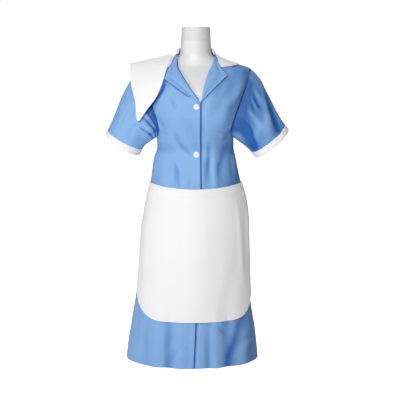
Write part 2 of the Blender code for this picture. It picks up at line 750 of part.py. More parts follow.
def spread(rises):
    """Each point of a grid takes the most that it or a neighbour needs, then evens out."""
    padded = np.pad(rises, 1, mode="edge")
    rows, columns = rises.shape
    near = [padded[i:i + rows, j:j + columns] for i in range(3) for j in range(3)]
    most = np.maximum.reduce(near)
    padded = np.pad(most, 1, mode="edge")
    near = [padded[i:i + rows, j:j + columns] for i in range(3) for j in range(3)]
    return np.maximum(most, sum(near) / 9.0)


def lift_clear(points, directions, order, shape, names, distance):
    """Moves a grid's points out until they clear the faces under them by distance."""
    reach = 0.3
    needed = np.zeros(len(points))
    for i, point in enumerate(points):
        outwards = Vector(directions[i])
        start = Vector(point) + outwards * reach
        for name in names:
            hit, normal, face, away = outer_faces[name].ray_cast(start, -outwards, 2.0 * reach)
            if hit is not None:
                slope = max(abs(normal.dot(outwards)), 0.45)
                needed[i] = max(needed[i], reach - away + distance / slope)
    rises = np.zeros(len(points))
    rises[order] = spread(needed[order].reshape(shape)).ravel()
    return points + directions * rises[:, None]


def scarf_surface(u, v):
    """The front half below the middle row, the shoulder fold, then the back half."""
    points = np.zeros((len(u), 3))
    for half, table in ((v <= 0.5, SCARF_FRONT), (v > 0.5, SCARF_BACK)):
        row = np.abs(v[half] - 0.5) * 2.0
        share = u[half]
        for axis, label in enumerate("xyz"):
            first = read_table(SCARF_COLUMNS, table, "left_" + label, row)
            second = read_table(SCARF_COLUMNS, table, "right_" + label, row)
            points[half, axis] = between(first, second, share) * MM
    lean = np.clip((v - 0.5) * 6.0, -1.0, 1.0) * np.pi / 2.0
    directions = np.stack([0.0 * u, np.sin(lean), np.cos(lean)], axis=-1)
    order = np.lexsort((u, v))
    shape = (SCARF_ROWS + 1, SCARF_SHARES + 1)
    under = ("dress_front_right", "dress_back_right", "sleeve_right", "collar")
    return lift_clear(points, directions, order, shape, under, THIN_SHELL + 4.0 * GAP)


def form_rings(u, v):
    heights = np.array(FORM_RINGS, dtype=float) * MM
    ring = np.rint((1.0 - v) * (len(heights) - 1)).astype(int)
    height = heights[ring]
    clearance = read_table(CLEARANCE_COLUMNS, CLEARANCES, "clearance", height / MM) * MM
    at_end = height < FORM_BOTTOM + 4 * MM
    clearance = np.where(at_end, clearance + 10 * MM, clearance)
    points = body(2.0 * np.pi * u, height, -clearance)
    points[:, 2] = np.where(height > FORM_TOP - MM, FORM_TOP, points[:, 2])
    points[:, 2] = np.where(at_end, FORM_BOTTOM, points[:, 2])
    return points


def close_ends(builder):
    """Fills each open end of a tube with one face."""
    edges = [edge for edge in builder.edges if edge.is_boundary]
    bmesh.ops.holes_fill(builder, edges=edges, sides=0)
    bmesh.ops.recalc_face_normals(builder, faces=builder.faces)


def add_form_piece(name, keep_above, material, collection):
    """The form's skin, cut by the slanted joint of its neck cap, one side kept."""
    mesh = grid_mesh(name, form_rings, 28, len(FORM_RINGS) - 1, closed_around=True)
    builder = bmesh.new()
    builder.from_mesh(mesh)
    close_ends(builder)
    across = section("front", np.array([CAP_FRONT_HEIGHT]))[0]
    slope = (CAP_BACK_HEIGHT - CAP_FRONT_HEIGHT) / (2.0 * across)
    normal = Vector((0.0, -slope, 1.0)).normalized()
    middle = Vector((0.0, 0.0, (CAP_FRONT_HEIGHT + CAP_BACK_HEIGHT) / 2.0))
    offset = GAP / 2.0 if keep_above else -GAP / 2.0
    bmesh.ops.bisect_plane(
        builder,
        geom=builder.verts[:] + builder.edges[:] + builder.faces[:],
        plane_co=middle + normal * offset,
        plane_no=normal,
        clear_inner=keep_above,
        clear_outer=not keep_above,
    )
    close_ends(builder)
    builder.to_mesh(mesh)
    builder.free()
    return add_object(name, mesh, material, collection)


def add_cylinder(name, radius, bottom, top, material, collection, bevel, sides=28):
    builder = bmesh.new()
    bmesh.ops.create_cone(
        builder,
        cap_ends=True,
        segments=sides,
        radius1=radius,
        radius2=radius,
        depth=top - bottom,
    )
    mesh = bpy.data.meshes.new(name)
    builder.to_mesh(mesh)
    builder.free()
    piece = add_object(name, mesh, material, collection)
    piece.location.z = (top + bottom) / 2.0
    if bevel > 0.0:
        rounding = piece.modifiers.new("Rounded edge", "BEVEL")
        rounding.width = bevel
        rounding.segments = 2
        rounding.limit_method = "ANGLE"
    mesh.shade_smooth()
    mesh.set_sharp_from_angle(angle=math.radians(40))
    return piece


def add_button(number, material, collection):
    """A dished shirt button: a profile turned about its own axis."""
    height = BUTTON_TOP_HEIGHT - BUTTON_SPACING * (number - 1)
    sway = read_table(CENTRE_COLUMNS, RIGHT_CENTRE_EDGE, "x", 0.73 * height / (914 * MM))
    x = (sway - 12.5) * MM
    angle = angle_at(np.array([x]), np.array([height]))
    foot = body(angle, np.array([height]), GAP + 0.1 * MM)[0]
    ahead = body(angle, np.array([height]), 10 * MM)[0]
    mesh = bpy.data.meshes.new("button_%d" % number)
    points = [(share * BUTTON_RADIUS, 0.0, rise * MM) for share, rise in BUTTON_PROFILE]
    edges = [(i, i + 1) for i in range(len(points) - 1)]
    mesh.from_pydata(points, edges, [])
    piece = add_object("button_%d" % number, mesh, material, collection)
    turning = piece.modifiers.new("Turned profile", "SCREW")
    turning.steps = 18
    turning.render_steps = 18
    turning.use_merge_vertices = True
    turning.merge_threshold = 0.00005
    turning.use_smooth_shade = False
    piece.location = Vector(foot)
    piece.rotation_mode = "QUATERNION"
    piece.rotation_quaternion = Vector(ahead - foot).to_track_quat("Z", "Y")
    return piece


def add_knot(material, collection):
    """The bow's knot: a small rounded block on the back of the waist."""
    builder = bmesh.new()
    bmesh.ops.create_cube(builder, size=1.0)
    bmesh.ops.scale(builder, verts=builder.verts, vec=(20 * MM, 11 * MM, 24 * MM))
    mesh = bpy.data.meshes.new("apron_bow_knot")
    builder.to_mesh(mesh)
    builder.free()
    piece = add_object("apron_bow_knot", mesh, material, collection)
    piece.location = Vector(bow_middle())
    rounding = piece.modifiers.new("Rounded edges", "BEVEL")
    rounding.width = 3.5 * MM
    rounding.segments = 2
    return piece


def build_form(collection, white, grey, steel):
    add_form_piece("form_torso", False, white, collection)
    add_form_piece("form_neck_cap", True, grey, collection)
    pole_top = FORM_BOTTOM - GAP
    add_cylinder("form_pole", POLE_RADIUS, BASE_HEIGHT + GAP, pole_top, steel, collection, 0.0, 20)
    add_cylinder("form_base", BASE_RADIUS, 0.0, BASE_HEIGHT, steel, collection, 3 * MM, 40)


def build_dress(collection, blue, white):
    add_sheet("dress_front_right", front_right_surface, 10, 32, SHELL, blue, collection)
    add_sheet("dress_front_left", front_left_surface, 11, 32, SHELL, blue, collection)
    add_sheet("dress_back_right", back_surface(-1), 9, 32, SHELL, blue, collection)
    add_sheet("dress_back_left", back_surface(1), 9, 32, SHELL, blue, collection)
    for name in ("right", "left"):
        add_sheet("sleeve_" + name, sleeve_surface(name), 26, 8, SHELL, blue, collection, True)
        add_sheet("cuff_" + name, cuff_surface(name), 26, 1, BAND_SHELL, white, collection, True)
    add_sheet("lapel_right", lapel_surface(RIGHT_LAPEL, -1), 5, 12, THIN_SHELL, blue, collection)
    add_sheet("lapel_left", lapel_surface(LEFT_LAPEL, 1), 5, 12, THIN_SHELL, blue, collection)
    add_sheet("collar", collar_surface, 10, 26, THIN_SHELL, white, collection)
    for number in range(1, BUTTON_COUNT + 1):
        add_button(number, white, collection)


def build_apron(collection, white):
    add_sheet("apron_panel", apron_surface, 22, 12, THIN_SHELL, white, collection)
    add_sheet("apron_waistband", waistband_surface, 22, 1, BAND_SHELL, white, collection)
    for name, side in (("right", -1), ("left", 1)):
        add_sheet("apron_tie_" + name, tie_surface(side), 8, 1, THIN_SHELL, white, collection)
        loop = bow_loop_surface(side)
        add_sheet("apron_bow_loop_" + name, loop, 16, 1, THIN_SHELL, white, collection, True)
        add_sheet("apron_tail_" + name, tail_surface(side), 2, 9, THIN_SHELL, white, collection)
    add_knot(white, collection)


def build():
    clear_scene()
    collection = make_collection("maid_uniform_on_dress_form")
    blue = make_material("blue_cloth", BLUE, 0.72, 0.0)
    white = make_material("white_cloth", WHITE, 0.75, 0.0)
    form_white = make_material("form_white", FORM_WHITE, 0.35, 0.0)
    grey = make_material("cap_grey", CAP_GREY, 0.35, 0.0)
    steel = make_material("brushed_steel", STEEL, 0.3, 1.0)
    build_form(collection, form_white, grey, steel)
    build_dress(collection, blue, white)
    build_apron(collection, white)
    add_sheet("scarf", scarf_surface, SCARF_SHARES, SCARF_ROWS, THIN_SHELL, white, collection)


build()
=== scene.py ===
# Looks for the maid uniform on its dress form: cloth with creases and sewing, buttons, the form's skin.
# Tables are in millimetres. -Y is the front, +X the wearer's left, angle 0 the middle of the front.
import math

import bpy
import numpy as np
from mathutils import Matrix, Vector
from mathutils.bvhtree import BVHTree


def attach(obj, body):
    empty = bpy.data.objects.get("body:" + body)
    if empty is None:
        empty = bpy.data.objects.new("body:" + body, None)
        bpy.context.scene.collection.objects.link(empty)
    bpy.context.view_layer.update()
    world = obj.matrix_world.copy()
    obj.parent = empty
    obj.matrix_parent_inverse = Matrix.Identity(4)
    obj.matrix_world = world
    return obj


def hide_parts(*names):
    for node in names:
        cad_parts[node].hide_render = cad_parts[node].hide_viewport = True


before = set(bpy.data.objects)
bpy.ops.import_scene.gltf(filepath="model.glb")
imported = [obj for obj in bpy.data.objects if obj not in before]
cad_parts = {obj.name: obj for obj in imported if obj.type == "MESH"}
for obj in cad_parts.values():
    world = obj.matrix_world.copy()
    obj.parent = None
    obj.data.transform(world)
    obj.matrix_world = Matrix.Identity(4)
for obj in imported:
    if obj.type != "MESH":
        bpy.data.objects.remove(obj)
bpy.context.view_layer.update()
mm = 0.001
outerFaces = {}  # the outer face of each sheet, for finding what lies under the scarf
stitchRuns = {"blue": [], "white": []}
print("frame loaded,", len(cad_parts), "solids")

# The dress's outer face: height, left, right, front and back, level by level.
bodyShape = {
    "sections": (
        (0, -250, 221.5, 172, 165),
        (67, -242, 215, 163, 158),
        (117, -233, 209, 157, 152),
        (156, -227, 202, 152, 148),
        (218, -216, 193.5, 147, 144),
        (300, -205, 191, 141, 140),
        (390, -198.5, 188, 136, 138),
        (471, -193, 186, 131, 137),
        (515, -185.5, 184, 127, 134),
        (577, -174, 175, 118, 126),
        (636, -159, 156, 108, 111),
        (718, -147, 138.5, 98, 92),
        (758, -135, 131, 95, 87),
        (790, -138, 131, 101, 88),
        (810, -147, 140, 106, 90),
        (830, -155, 149, 111, 92),
        (865, -165, 160, 117, 98),
        (910, -178, 174, 113, 102),
        (950, -184, 182, 105, 101),
        (990, -188, 188, 91, 92),
        (1010, -190.5, 190.5, 81, 85.5),
        (1026, -189, 189, 70, 77.5),
        (1034, -173, 172, 65, 73.5),
        (1041, -151, 150, 61, 70),
        (1052, -114, 113, 57, 65.5),
        (1061, -92, 91, 55, 62.5),
        (1070, -75, 74, 54, 60),
        (1079, -65, 64, 54, 58.5),
        (1088, -61, 60, 54.5, 57.5),
        (1098, -59, 58, 55, 57.5),
        (1110, -57.5, 57, 55.5, 57),
        (1140, -55, 54.5, 55.5, 56),
        (1169, -53.5, 52.5, 55, 55),
    ),
    "bustX": 76,
    "bustZ": 868,
    "bustWide": 52,
    "bustTall": 58,
    "bustRise": 9,
}
# The largest folds, as on the solids: side (-1 front), start x, z, end x, z, width, rise.
largeFolds = (
    (-1, -150, -260, -128, 250, 20, 6),
    (-1, -108, -260, -96, 230, 18, -5),
    (-1, -58, -240, -50, 210, 16, 4.5),
    (-1, 46, -240, 40, 200, 17, -4),
    (-1, 78, -260, 66, 240, 16, 5),
    (-1, 122, -280, 104, 270, 20, -6),
    (-1, 172, -260, 150, 260, 20, 5),
    (-1, 166, 1010, 66, 820, 17, 6),
    (-1, 136, 990, 98, 850, 15, -5),
    (-1, 44, 800, 50, 610, 10, -4),
    (-1, 62, 780, 70, 600, 11, 3.5),
    (-1, 112, 790, 60, 640, 13, -3.5),
    (-1, -112, 745, -106, 600, 10, 4),
    (-1, -76, 730, -72, 610, 9, -4),
    (-1, -62, 905, -14, 745, 12, 3),
    (-1, -142, 880, -96, 815, 11, -4),
    (-1, -96, 955, -60, 880, 12, -3),
    (1, -140, -280, -118, 330, 24, 7),
    (1, -72, -280, -60, 300, 20, -6),
    (1, 10, -280, 6, 280, 22, 5),
    (1, 84, -280, 70, 320, 20, -6),
    (1, 148, -280, 126, 300, 22, 6),
    (1, -96, 860, -50, 640, 13, -4),
    (1, 100, 870, 46, 650, 13, -4),
    (1, -40, 760, -34, 600, 11, 3.5),
    (1, 44, 780, 40, 620, 11, 3.5),
)
# Finer creases of the dress, strongest near their start: side, start x, z, end x, z, bow, width, rise, lee.
dressCreases = (
    (-1, -100, 984, -18, 900, -5, 16, -1.1, 0.7),
    (-1, -62, 1024, -176, 862, 3, 12, -4.0, 0.2),
    (-1, -124, 930, -84, 872, -4, 13, -0.9, 0.5),
    (-1, -128, 826, -68, 806, 8, 10, -1.8, 0.8),
    (-1, -76, 824, -22, 728, 6, 10, -2.7, 0.7),
    (-1, -40, 770, -6, 716, 4, 7, -1.2, 0.8),
    (-1, -68, 712, -60, 600, -3, 9, -3.2, 0.6),
    (-1, -104, 700, -102, 600, 2, 9, -1.8, 0.6),
    (-1, -26, 668, -24, 605, 1, 7, -1.4, 0.6),
    (-1, 42, 735, 38, 595, 3, 11, -4.0, 0.6),
    (-1, 80, 712, 84, 600, 2, 10, -2.4, 0.6),
    (-1, 128, 740, 137, 640, 3, 7, 2.6, 0.7),
    (-1, 122, 812, 84, 770, 6, 9, -1.8, 0.7),
    (-1, 128, 826, 74, 816, -9, 9, -2.0, 0.7),
    (-1, 172, 1016, 74, 888, -10, 20, 6.0, 0.8),
    (-1, 122, 1012, 60, 930, 6, 15, -4.4, 0.3),
    (-1, 92, 925, 40, 842, 8, 15, -2.2, 0.6),
    (-1, 30, 890, 26, 760, 5, 11, -0.8, 0.5),
    (-1, -150, 150, -144, 8, 4, 14, 2.0, 0.5),
    (-1, -34, 88, -92, 14, 10, 17, -2.4, 0.6),
    (-1, 66, 150, 104, 106, -6, 8, -2.2, 0.7),
    (-1, 158, 196, 112, 16, -8, 18, -7.0, 0.5),
    (-1, 190, 92, 150, 36, 6, 14, 3.2, 0.6),
    (-1, 190, 230, 206, 60, 4, 10, -2.0, 0.6),
    (-1, -196, 240, -214, 60, -4, 9, -1.6, 0.6),
    (1, -124, 842, -60, 816, -10, 8, -2.2, 0.8),
    (1, 124, 836, 66, 806, -9, 8, -2.2, 0.8),
    (1, -128, 990, -70, 900, 8, 10, -1.8, 0.7),
    (1, 132, 990, 74, 905, -8, 10, -1.8, 0.7),
    (1, -50, 1006, 46, 1000, -14, 8, -1.5, 0.7),
    (1, -90, 700, -84, 640, 3, 6, -2.2, 0.8),
    (1, 88, 712, 84, 640, -3, 6, -2.2, 0.8),
    (1, -20, 720, -18, 645, 2, 6, -1.6, 0.7),
    (1, 112, 770, 60, 730, 6, 7, -1.6, 0.7),
    (1, -112, 764, -56, 728, 6, 7, -1.6, 0.7),
    (1, -96, 540, -104, 300, 8, 12, -2.0, 0.7),
    (1, 92, 530, 98, 300, -8, 12, -2.0, 0.7),
    (1, -30, 330, -34, 20, 6, 13, -2.6, 0.7),
    (1, 40, 300, 44, 12, -6, 12, 2.2, 0.7),
    (1, 118, 210, 124, 10, 6, 10, -2.2, 0.7),
    (1, -118, 220, -128, 10, -6, 10, 2.2, 0.7),
)


def tableColumn(table, place):
    return np.array([row[place] for row in table], dtype=float)


def smoothCurve(knots, values, at):
    # goes through the values and never overshoots between two of them
    step = np.diff(knots)
    slope = np.diff(values) / step
    tangent = np.empty(len(knots))
    tangent[0] = slope[0]
    tangent[-1] = slope[-1]
    for i in range(1, len(knots) - 1):
        if slope[i - 1] * slope[i] <= 0.0:
            tangent[i] = 0.0
        else:
            before = 2.0 * step[i] + step[i - 1]
            after = step[i] + 2.0 * step[i - 1]
            tangent[i] = (before + after) / (before / slope[i - 1] + after / slope[i])
    span = np.clip(np.searchsorted(knots, at, side="right") - 1, 0, len(knots) - 2)
    t = np.clip((at - knots[span]) / step[span], 0.0, 1.0)
    return (
        values[span] * (1.0 + 2.0 * t) * (1.0 - t) ** 2
        + values[span + 1] * t * t * (3.0 - 2.0 * t)
        + step[span] * (tangent[span] * t * (1.0 - t) ** 2 - tangent[span + 1] * t * t * (1.0 - t))
    )


def readTable(table, place, at):
    return smoothCurve(tableColumn(table, 0), tableColumn(table, place), np.asarray(at, dtype=float))


def ramp(value, low, high):
    t = np.clip((value - low) / (high - low), 0.0, 1.0)
    return t * t * (3.0 - 2.0 * t)


def between(first, second, share):
    return first + (second - first) * share


def sectionAt(place, height):
    return readTable(bodyShape["sections"], place, height / mm) * mm


def largeFoldRise(x, y, height):
    total = np.zeros_like(x)
    for side, startX, startZ, endX, endZ, width, rise in largeFolds:
        run = np.array([endX - startX, endZ - startZ]) * mm
        alongX = x - startX * mm
        alongZ = height - startZ * mm
        t = (alongX * run[0] + alongZ * run[1]) / (run @ run)
        away = (alongX * run[1] - alongZ * run[0]) / math.sqrt(run @ run)
        fade = np.sin(np.pi * np.clip(t, 0.0, 1.0))
        facing = ramp(y * side, 0.0, 40 * mm)
        total += rise * mm * fade * facing * np.exp(-((away / (width * mm)) ** 2))
    return total


def creaseRise(x, y, height, creases):
    # a trough or ridge with a lee of the other sign on one side, bowed, and narrowing to its end
    total = np.zeros_like(x)
    for side, startX, startZ, endX, endZ, bow, width, rise, lee in creases:
        run = np.array([endX - startX, endZ - startZ]) * mm
        alongX = x - startX * mm
        alongZ = height - startZ * mm
        t = (alongX * run[0] + alongZ * run[1]) / (run @ run)
        inside = np.clip(t, 0.0, 1.0)
        away = (alongX * run[1] - alongZ * run[0]) / math.sqrt(run @ run)
        away = away - bow * mm * 4.0 * inside * (1.0 - inside)
        across = away / (width * mm * (1.15 - 0.4 * inside))
        fade = np.sin(np.pi * inside ** 0.72) ** 1.2
        shape = np.exp(-across ** 2) - lee * 0.55 * np.exp(-((across - 1.5) / 0.95) ** 2)
        total += rise * mm * fade * shape * ramp(y * side, 0.0, 30 * mm)
    return total


def bareBody(angle, height, fine):
    left = sectionAt(1, height)
    right = sectionAt(2, height)
    sine = np.sin(angle)
    cosine = np.cos(angle)
    depth = np.where(cosine > 0.0, sectionAt(3, height), sectionAt(4, height))
    x = (left + right) / 2.0 + (right - left) / 2.0 * sine
    y = -depth * cosine
    bust = np.zeros_like(x)
    for side in (-1, 1):
        across = (x - side * bodyShape["bustX"] * mm) / (bodyShape["bustWide"] * mm)
        up = (height - bodyShape["bustZ"] * mm) / (bodyShape["bustTall"] * mm)
        bust += bodyShape["bustRise"] * mm * np.exp(-across ** 2 - up ** 2)
    bust *= ramp(cosine, 0.0, 0.4)
    lift = bust + largeFoldRise(x, y, height)
    if fine:
        lift = lift + creaseRise(x, y, height, dressCreases)
    return np.stack([x + lift * sine, y - lift * cosine, height + 0.0 * x], axis=-1)


def onBody(angle, height, lift=0.0, fine=False):
    # points of the body surface, moved out along its normal
    angle = np.asarray(angle, dtype=float)
    height = np.asarray(height, dtype=float)
    small = 0.5 * mm
    points = bareBody(angle, height, fine)
    around = bareBody(angle + 0.004, height, fine) - bareBody(angle - 0.004, height, fine)
    up = bareBody(angle, height + small, fine) - bareBody(angle, height - small, fine)
    normal = np.cross(around, up)
    normal /= np.maximum(np.linalg.norm(normal, axis=-1, keepdims=True), 1e-12)
    return points + normal * np.broadcast_to(lift, angle.shape)[..., None]


def angleAt(x, height, back=False):
    left = sectionAt(1, height)
    right = sectionAt(2, height)
    sine = np.clip((x - (left + right) / 2.0) / ((right - left) / 2.0), -1.0, 1.0)
    frontAngle = np.arcsin(sine)
    return np.where(back, np.pi - frontAngle, frontAngle)


def unevenWave(along, length):
    # a wave whose spacing and height drift, for puckers and gathers
    turn = 2.0 * np.pi * along / length
    return np.sin(turn + 1.3 * np.sin(turn / 2.7 + 0.4)) * (0.62 + 0.38 * np.sin(turn / 5.3 + 1.0))


def easeEnds(t, strength):
    return t - strength * np.sin(2.0 * np.pi * t) / (2.0 * np.pi)


def gridNormals(points, closed):
    if closed:
        wrapped = np.concatenate([points[:, -2:-1], points, points[:, 1:2]], axis=1)
        acrossStep = (wrapped[:, 2:] - wrapped[:, :-2]) / 2.0
    else:
        acrossStep = np.gradient(points, axis=1)
    normals = np.cross(acrossStep, np.gradient(points, axis=0))
    return normals / np.maximum(np.linalg.norm(normals, axis=2, keepdims=True), 1e-12)


def arcLengths(points):
    # metres along the cloth from each of the four edges
    acrossStep = np.linalg.norm(np.diff(points, axis=1), axis=2)
    upStep = np.linalg.norm(np.diff(points, axis=0), axis=2)
    fromStart = np.pad(np.cumsum(acrossStep, axis=1), ((0, 0), (1, 0)))
    fromBottom = np.pad(np.cumsum(upStep, axis=0), ((1, 0), (0, 0)))
    return {
        "start": fromStart,
        "end": fromStart[:, -1:] - fromStart,
        "bottom": fromBottom,
        "top": fromBottom[-1:] - fromBottom,
    }


sewing = {
    "seamTurn": 0.5,  # a seam's edge turns in by this much
    "seamReach": 1.0,
    "seamPucker": 0.32,
    "hemPucker": 0.28,
    "puckerSpacing": 11.0,
    "edgeRound": 0.35,
    "stitchLength": 2.6,
    "stitchPitch": 3.4,
    "threadRadius": 0.28,
}


def sewEdges(points, edges, closed):
    # turns the seams in, presses a groove along each line of stitching and puckers both
    normals = gridNormals(points, closed)
    away = arcLengths(points)
    rise = np.zeros(points.shape[:2])
    for edge, (kind, width) in edges.items():
        distance = away[edge]
        along = away["bottom"] if edge in ("start", "end") else away["start"]
        wave = unevenWave(along, sewing["puckerSpacing"] * mm)
        if kind == "seam":
            rise -= sewing["seamTurn"] * mm * np.exp(-((distance / (sewing["seamReach"] * mm)) ** 2))
            rise += sewing["seamPucker"] * mm * wave * np.exp(-distance / (7 * mm))
        if kind == "hem":
            groove = max(0.9, min(1.6, width * 0.12)) * mm
            line = np.exp(-(((distance - width * mm) / groove) ** 2))
            inside = 1.0 - ramp(distance, (width - 0.5) * mm, (width + 0.9) * mm)
            rise += 0.10 * mm * inside - 0.20 * mm * line
            rise += sewing["hemPucker"] * mm * wave * np.exp(-(((distance - width * mm) / (4.5 * mm)) ** 2))
        if kind in ("hem", "fold"):
            rise -= sewing["edgeRound"] * mm * np.exp(-((distance / (0.8 * mm)) ** 2))
    return points + normals * rise[..., None]


def noteStitches(points, edge, inset, thread, closed=False, skip=0.0):
    # a line of stitching at an even distance from one edge of a sheet
    away = arcLengths(points)[edge]
    normals = gridNormals(points, closed)
    lanes = range(points.shape[0]) if edge in ("start", "end") else range(points.shape[1])
    path = []
    facing = []
    for lane in lanes:
        pick = (lane, slice(None)) if edge in ("start", "end") else (slice(None), lane)
        order = np.argsort(away[pick])
        where = away[pick][order]
        path.append([np.interp(inset * mm, where, points[pick][order, axis]) for axis in range(3)])
        facing.append([np.interp(inset * mm, where, normals[pick][order, axis]) for axis in range(3)])
    stitchRuns[thread].append((np.array(path), np.array(facing), skip))


def selectOnly(piece):
    bpy.ops.object.select_all(action="DESELECT")
    piece.select_set(True)
    bpy.context.view_layer.objects.active = piece


def startEditing():
    bpy.ops.object.mode_set(mode="EDIT")
    bpy.ops.mesh.select_all(action="SELECT")


def layGrid(name, surface, across, along, ease=(0.7, 0.7), closed=False):
    bpy.ops.object.select_all(action="DESELECT")
    bpy.ops.mesh.primitive_grid_add(x_subdivisions=across, y_subdivisions=along, size=2.0)
    piece = bpy.context.object
    piece.name = name
    piece.data.name = name
    flat = np.empty(len(piece.data.vertices) * 3)
    piece.data.vertices.foreach_get("co", flat)
    flat = flat.reshape(-1, 3)
    u = easeEnds((flat[:, 0] + 1.0) / 2.0, 0.0 if closed else ease[0])
    v = easeEnds((flat[:, 1] + 1.0) / 2.0, ease[1])
    points = surface(u, v).reshape(along + 1, across + 1, 3)
    return piece, points, (u, v)


def blurGrid(grid, times, closed):
    for _ in range(times):
        wide = np.pad(grid, ((0, 0), (1, 1), (0, 0)), mode="wrap" if closed else "edge")
        grid = (wide[:, :-2] + wide[:, 1:-1] + wide[:, 2:]) / 3.0
        wide = np.pad(grid, ((1, 1), (0, 0), (0, 0)), mode="edge")
        grid = (wide[:-2] + wide[1:-1] + wide[2:]) / 3.0
    return grid


# how the painted shade in folds is found
foldShadePaint = {
    "nearRounds": 26,  # rounds of blurring that leave out the folds
    "bodyRounds": 150,  # rounds that leave only the body's own curves
    "fullDepth": 6.0,  # a fold this deep takes the full painted shade
}


def paintShade(piece, points, closed, shade):
    # painted shade: how far each point lies below the cloth near it, which darkens the colour in folds,
    # plus the painted shade passed in
    near = blurGrid(points, foldShadePaint["nearRounds"], closed)
    below = ((near - points) * gridNormals(points, closed)).sum(axis=2)[..., None]
    below = (below - blurGrid(below, foldShadePaint["bodyRounds"], closed))[..., 0]
    depth = np.clip(below / (foldShadePaint["fullDepth"] * mm) + shade, 0.0, 1.0)
    attribute = piece.data.attributes.new("paintedShade", "FLOAT", "POINT")
    attribute.data.foreach_set("value", depth.ravel().astype(np.float32))


def makeSheet(name, surface, across, along, thickness, material, slot, edges,
              closed=False, ease=(0.7, 0.7), shade=None):
    # a sheet of cloth laid on a surface, sewn along its edges and given its thickness
    piece, points, places = layGrid(name, surface, across, along, ease, closed)
    points = sewEdges(points, edges, closed)
    # painted shade given for the piece, if any
    shaded = shade(*places).reshape(points.shape[:2]) if shade else 0.0
    if closed:
        points[:, -1] = points[:, 0]
    mesh = piece.data
    mesh.vertices.foreach_set("co", points.ravel())
    away = arcLengths(points)
    loopVertex = np.empty(len(mesh.loops), dtype=int)
    mesh.loops.foreach_get("vertex_index", loopVertex)
    middle = away["start"][:, (across + 1) // 2][:, None]
    flatMap = np.stack([away["start"] - middle, away["bottom"]], axis=-1).reshape(-1, 2)
    mesh.uv_layers[0].data.foreach_set("uv", flatMap[loopVertex].ravel())
    paintShade(piece, points, closed, shaded)
    corners = [tuple(p) for p in points.reshape(-1, 3)]
    faces = [tuple(face.vertices) for face in mesh.polygons]
    outerFaces[name] = BVHTree.FromPolygons(corners, faces)
    if closed:
        startEditing()
        bpy.ops.mesh.remove_doubles(threshold=0.01 * mm)
        bpy.ops.object.mode_set(mode="OBJECT")
    mesh.materials.clear()
    mesh.materials.append(material)
    applyThickness(piece, thickness)
    mesh.shade_smooth()
    settle(piece)
    return piece, points


def roundEdges(piece, width, segments, degrees):
    rounding = piece.modifiers.new("roundedEdge", "BEVEL")
    rounding.width = width
    rounding.segments = segments
    rounding.limit_method = "ANGLE"
    rounding.angle_limit = math.radians(degrees)
    bpy.ops.object.modifier_apply(modifier=rounding.name)


def applyThickness(piece, thickness):
    solidify = piece.modifiers.new("clothThickness", "SOLIDIFY")
    solidify.thickness = thickness * mm
    solidify.offset = -1.0
    solidify.use_rim = True
    bpy.ops.object.modifier_apply(modifier=solidify.name)
    roundEdges(piece, thickness * 0.3 * mm, 2, 62)


def settle(piece):
    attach(piece, "root")
    piece.select_set(False)


def newMaterial(name, roughness, color=(0.8, 0.8, 0.8, 1.0)):
    material = bpy.data.materials.new(name)
    material.use_nodes = True
    shader = material.node_tree.nodes["Principled BSDF"]
    shader.inputs["Base Color"].default_value = color
    shader.inputs["Roughness"].default_value = roughness
    material.diffuse_color = color
    return material, shader


def wireUp(tree, kind, settings, inputs):
    # one node with its fixed settings and its linked or plain inputs
    node = tree.nodes.new(kind)
    for key, value in settings.items():
        setattr(node, key, value)
    for key, value in inputs.items():
        if isinstance(value, bpy.types.NodeSocket):
            tree.links.new(value, node.inputs[key])
        else:
            node.inputs[key].default_value = value
    return node


clothLook = {
    "threadSpacing": 0.00042,
    "waveRun": 0.314,  # a wave texture of scale 1 repeats after this length
    "slubs": (90.0, 1800.0),  # how often the thread varies along itself and across, in a metre
    "cloudScale": 6.0,
    "blue": {
        "lit": (0.182, 0.352, 0.622, 1.0),
        # painted shade colour, for folds and shaded places, which the random cloud also uses a little
        "shadeAndCloud": (0.002, 0.086, 0.335, 1.0),
        "slub": (0.206, 0.380, 0.650, 1.0),
        "roughness": 0.58,
        "ior": 1.5,
        "sheen": 0.05,
        "sheenTint": (0.80, 0.88, 1.0, 1.0),
        "specular": 0.45,
        "weave": 0.12,
        "slubBump": 0.2,
        "cloud": 0.05,
        # how far the painted shade goes toward that colour
        "foldShadeMix": 1.0,
    },
    "white": {
        "lit": (0.735, 0.733, 0.740, 1.0),
        # painted shade colour, for folds and shaded places, which the random cloud also uses a little
        "shadeAndCloud": (0.600, 0.602, 0.628, 1.0),
        "slub": (0.785, 0.783, 0.788, 1.0),
        "roughness": 0.68,
        "ior": 1.45,
        "sheen": 0.25,
        "sheenTint": (1.0, 1.0, 1.0, 1.0),
        "specular": 0.4,
        "weave": 0.12,
        "slubBump": 0.2,
        "cloud": 0.05,
        # how far the painted shade goes toward that colour
        "foldShadeMix": 0.6,
    },
}
hardLook = {
    "mottleScale": 34.0,
    "grainScale": 900.0,
    "ringScale": 220.0,
}


def mixColors(tree, share, first, second):
    node = tree.nodes.new("ShaderNodeMix")
    node.data_type = "RGBA"
    for socket, value in ((0, share), (6, first), (7, second)):
        if isinstance(value, bpy.types.NodeSocket):
            tree.links.new(value, node.inputs[socket])
        else:
            node.inputs[socket].default_value = value
    return node.outputs[2]


def rangeOf(tree, value, low, high, newLow, newHigh):
    inputs = {"Value": value, "From Min": low, "From Max": high, "To Min": newLow, "To Max": newHigh}
    return wireUp(tree, "ShaderNodeMapRange", {}, inputs).outputs[0]


def mathOf(tree, operation, first, second):
    return wireUp(tree, "ShaderNodeMath", {"operation": operation}, {0: first, 1: second}).outputs[0]


def noiseOf(tree, place, scale, detail, roughness=0.5):
    inputs = {"Vector": place, "Scale": scale, "Detail": detail, "Roughness": roughness}
    return wireUp(tree, "ShaderNodeTexNoise", {}, inputs).outputs["Fac"]


def bumpOf(tree, height, strength, distance, under=None):
    inputs = {"Height": height, "Strength": strength, "Distance": distance}
    if under is not None:
        inputs["Normal"] = under
    return wireUp(tree, "ShaderNodeBump", {}, inputs).outputs["Normal"]


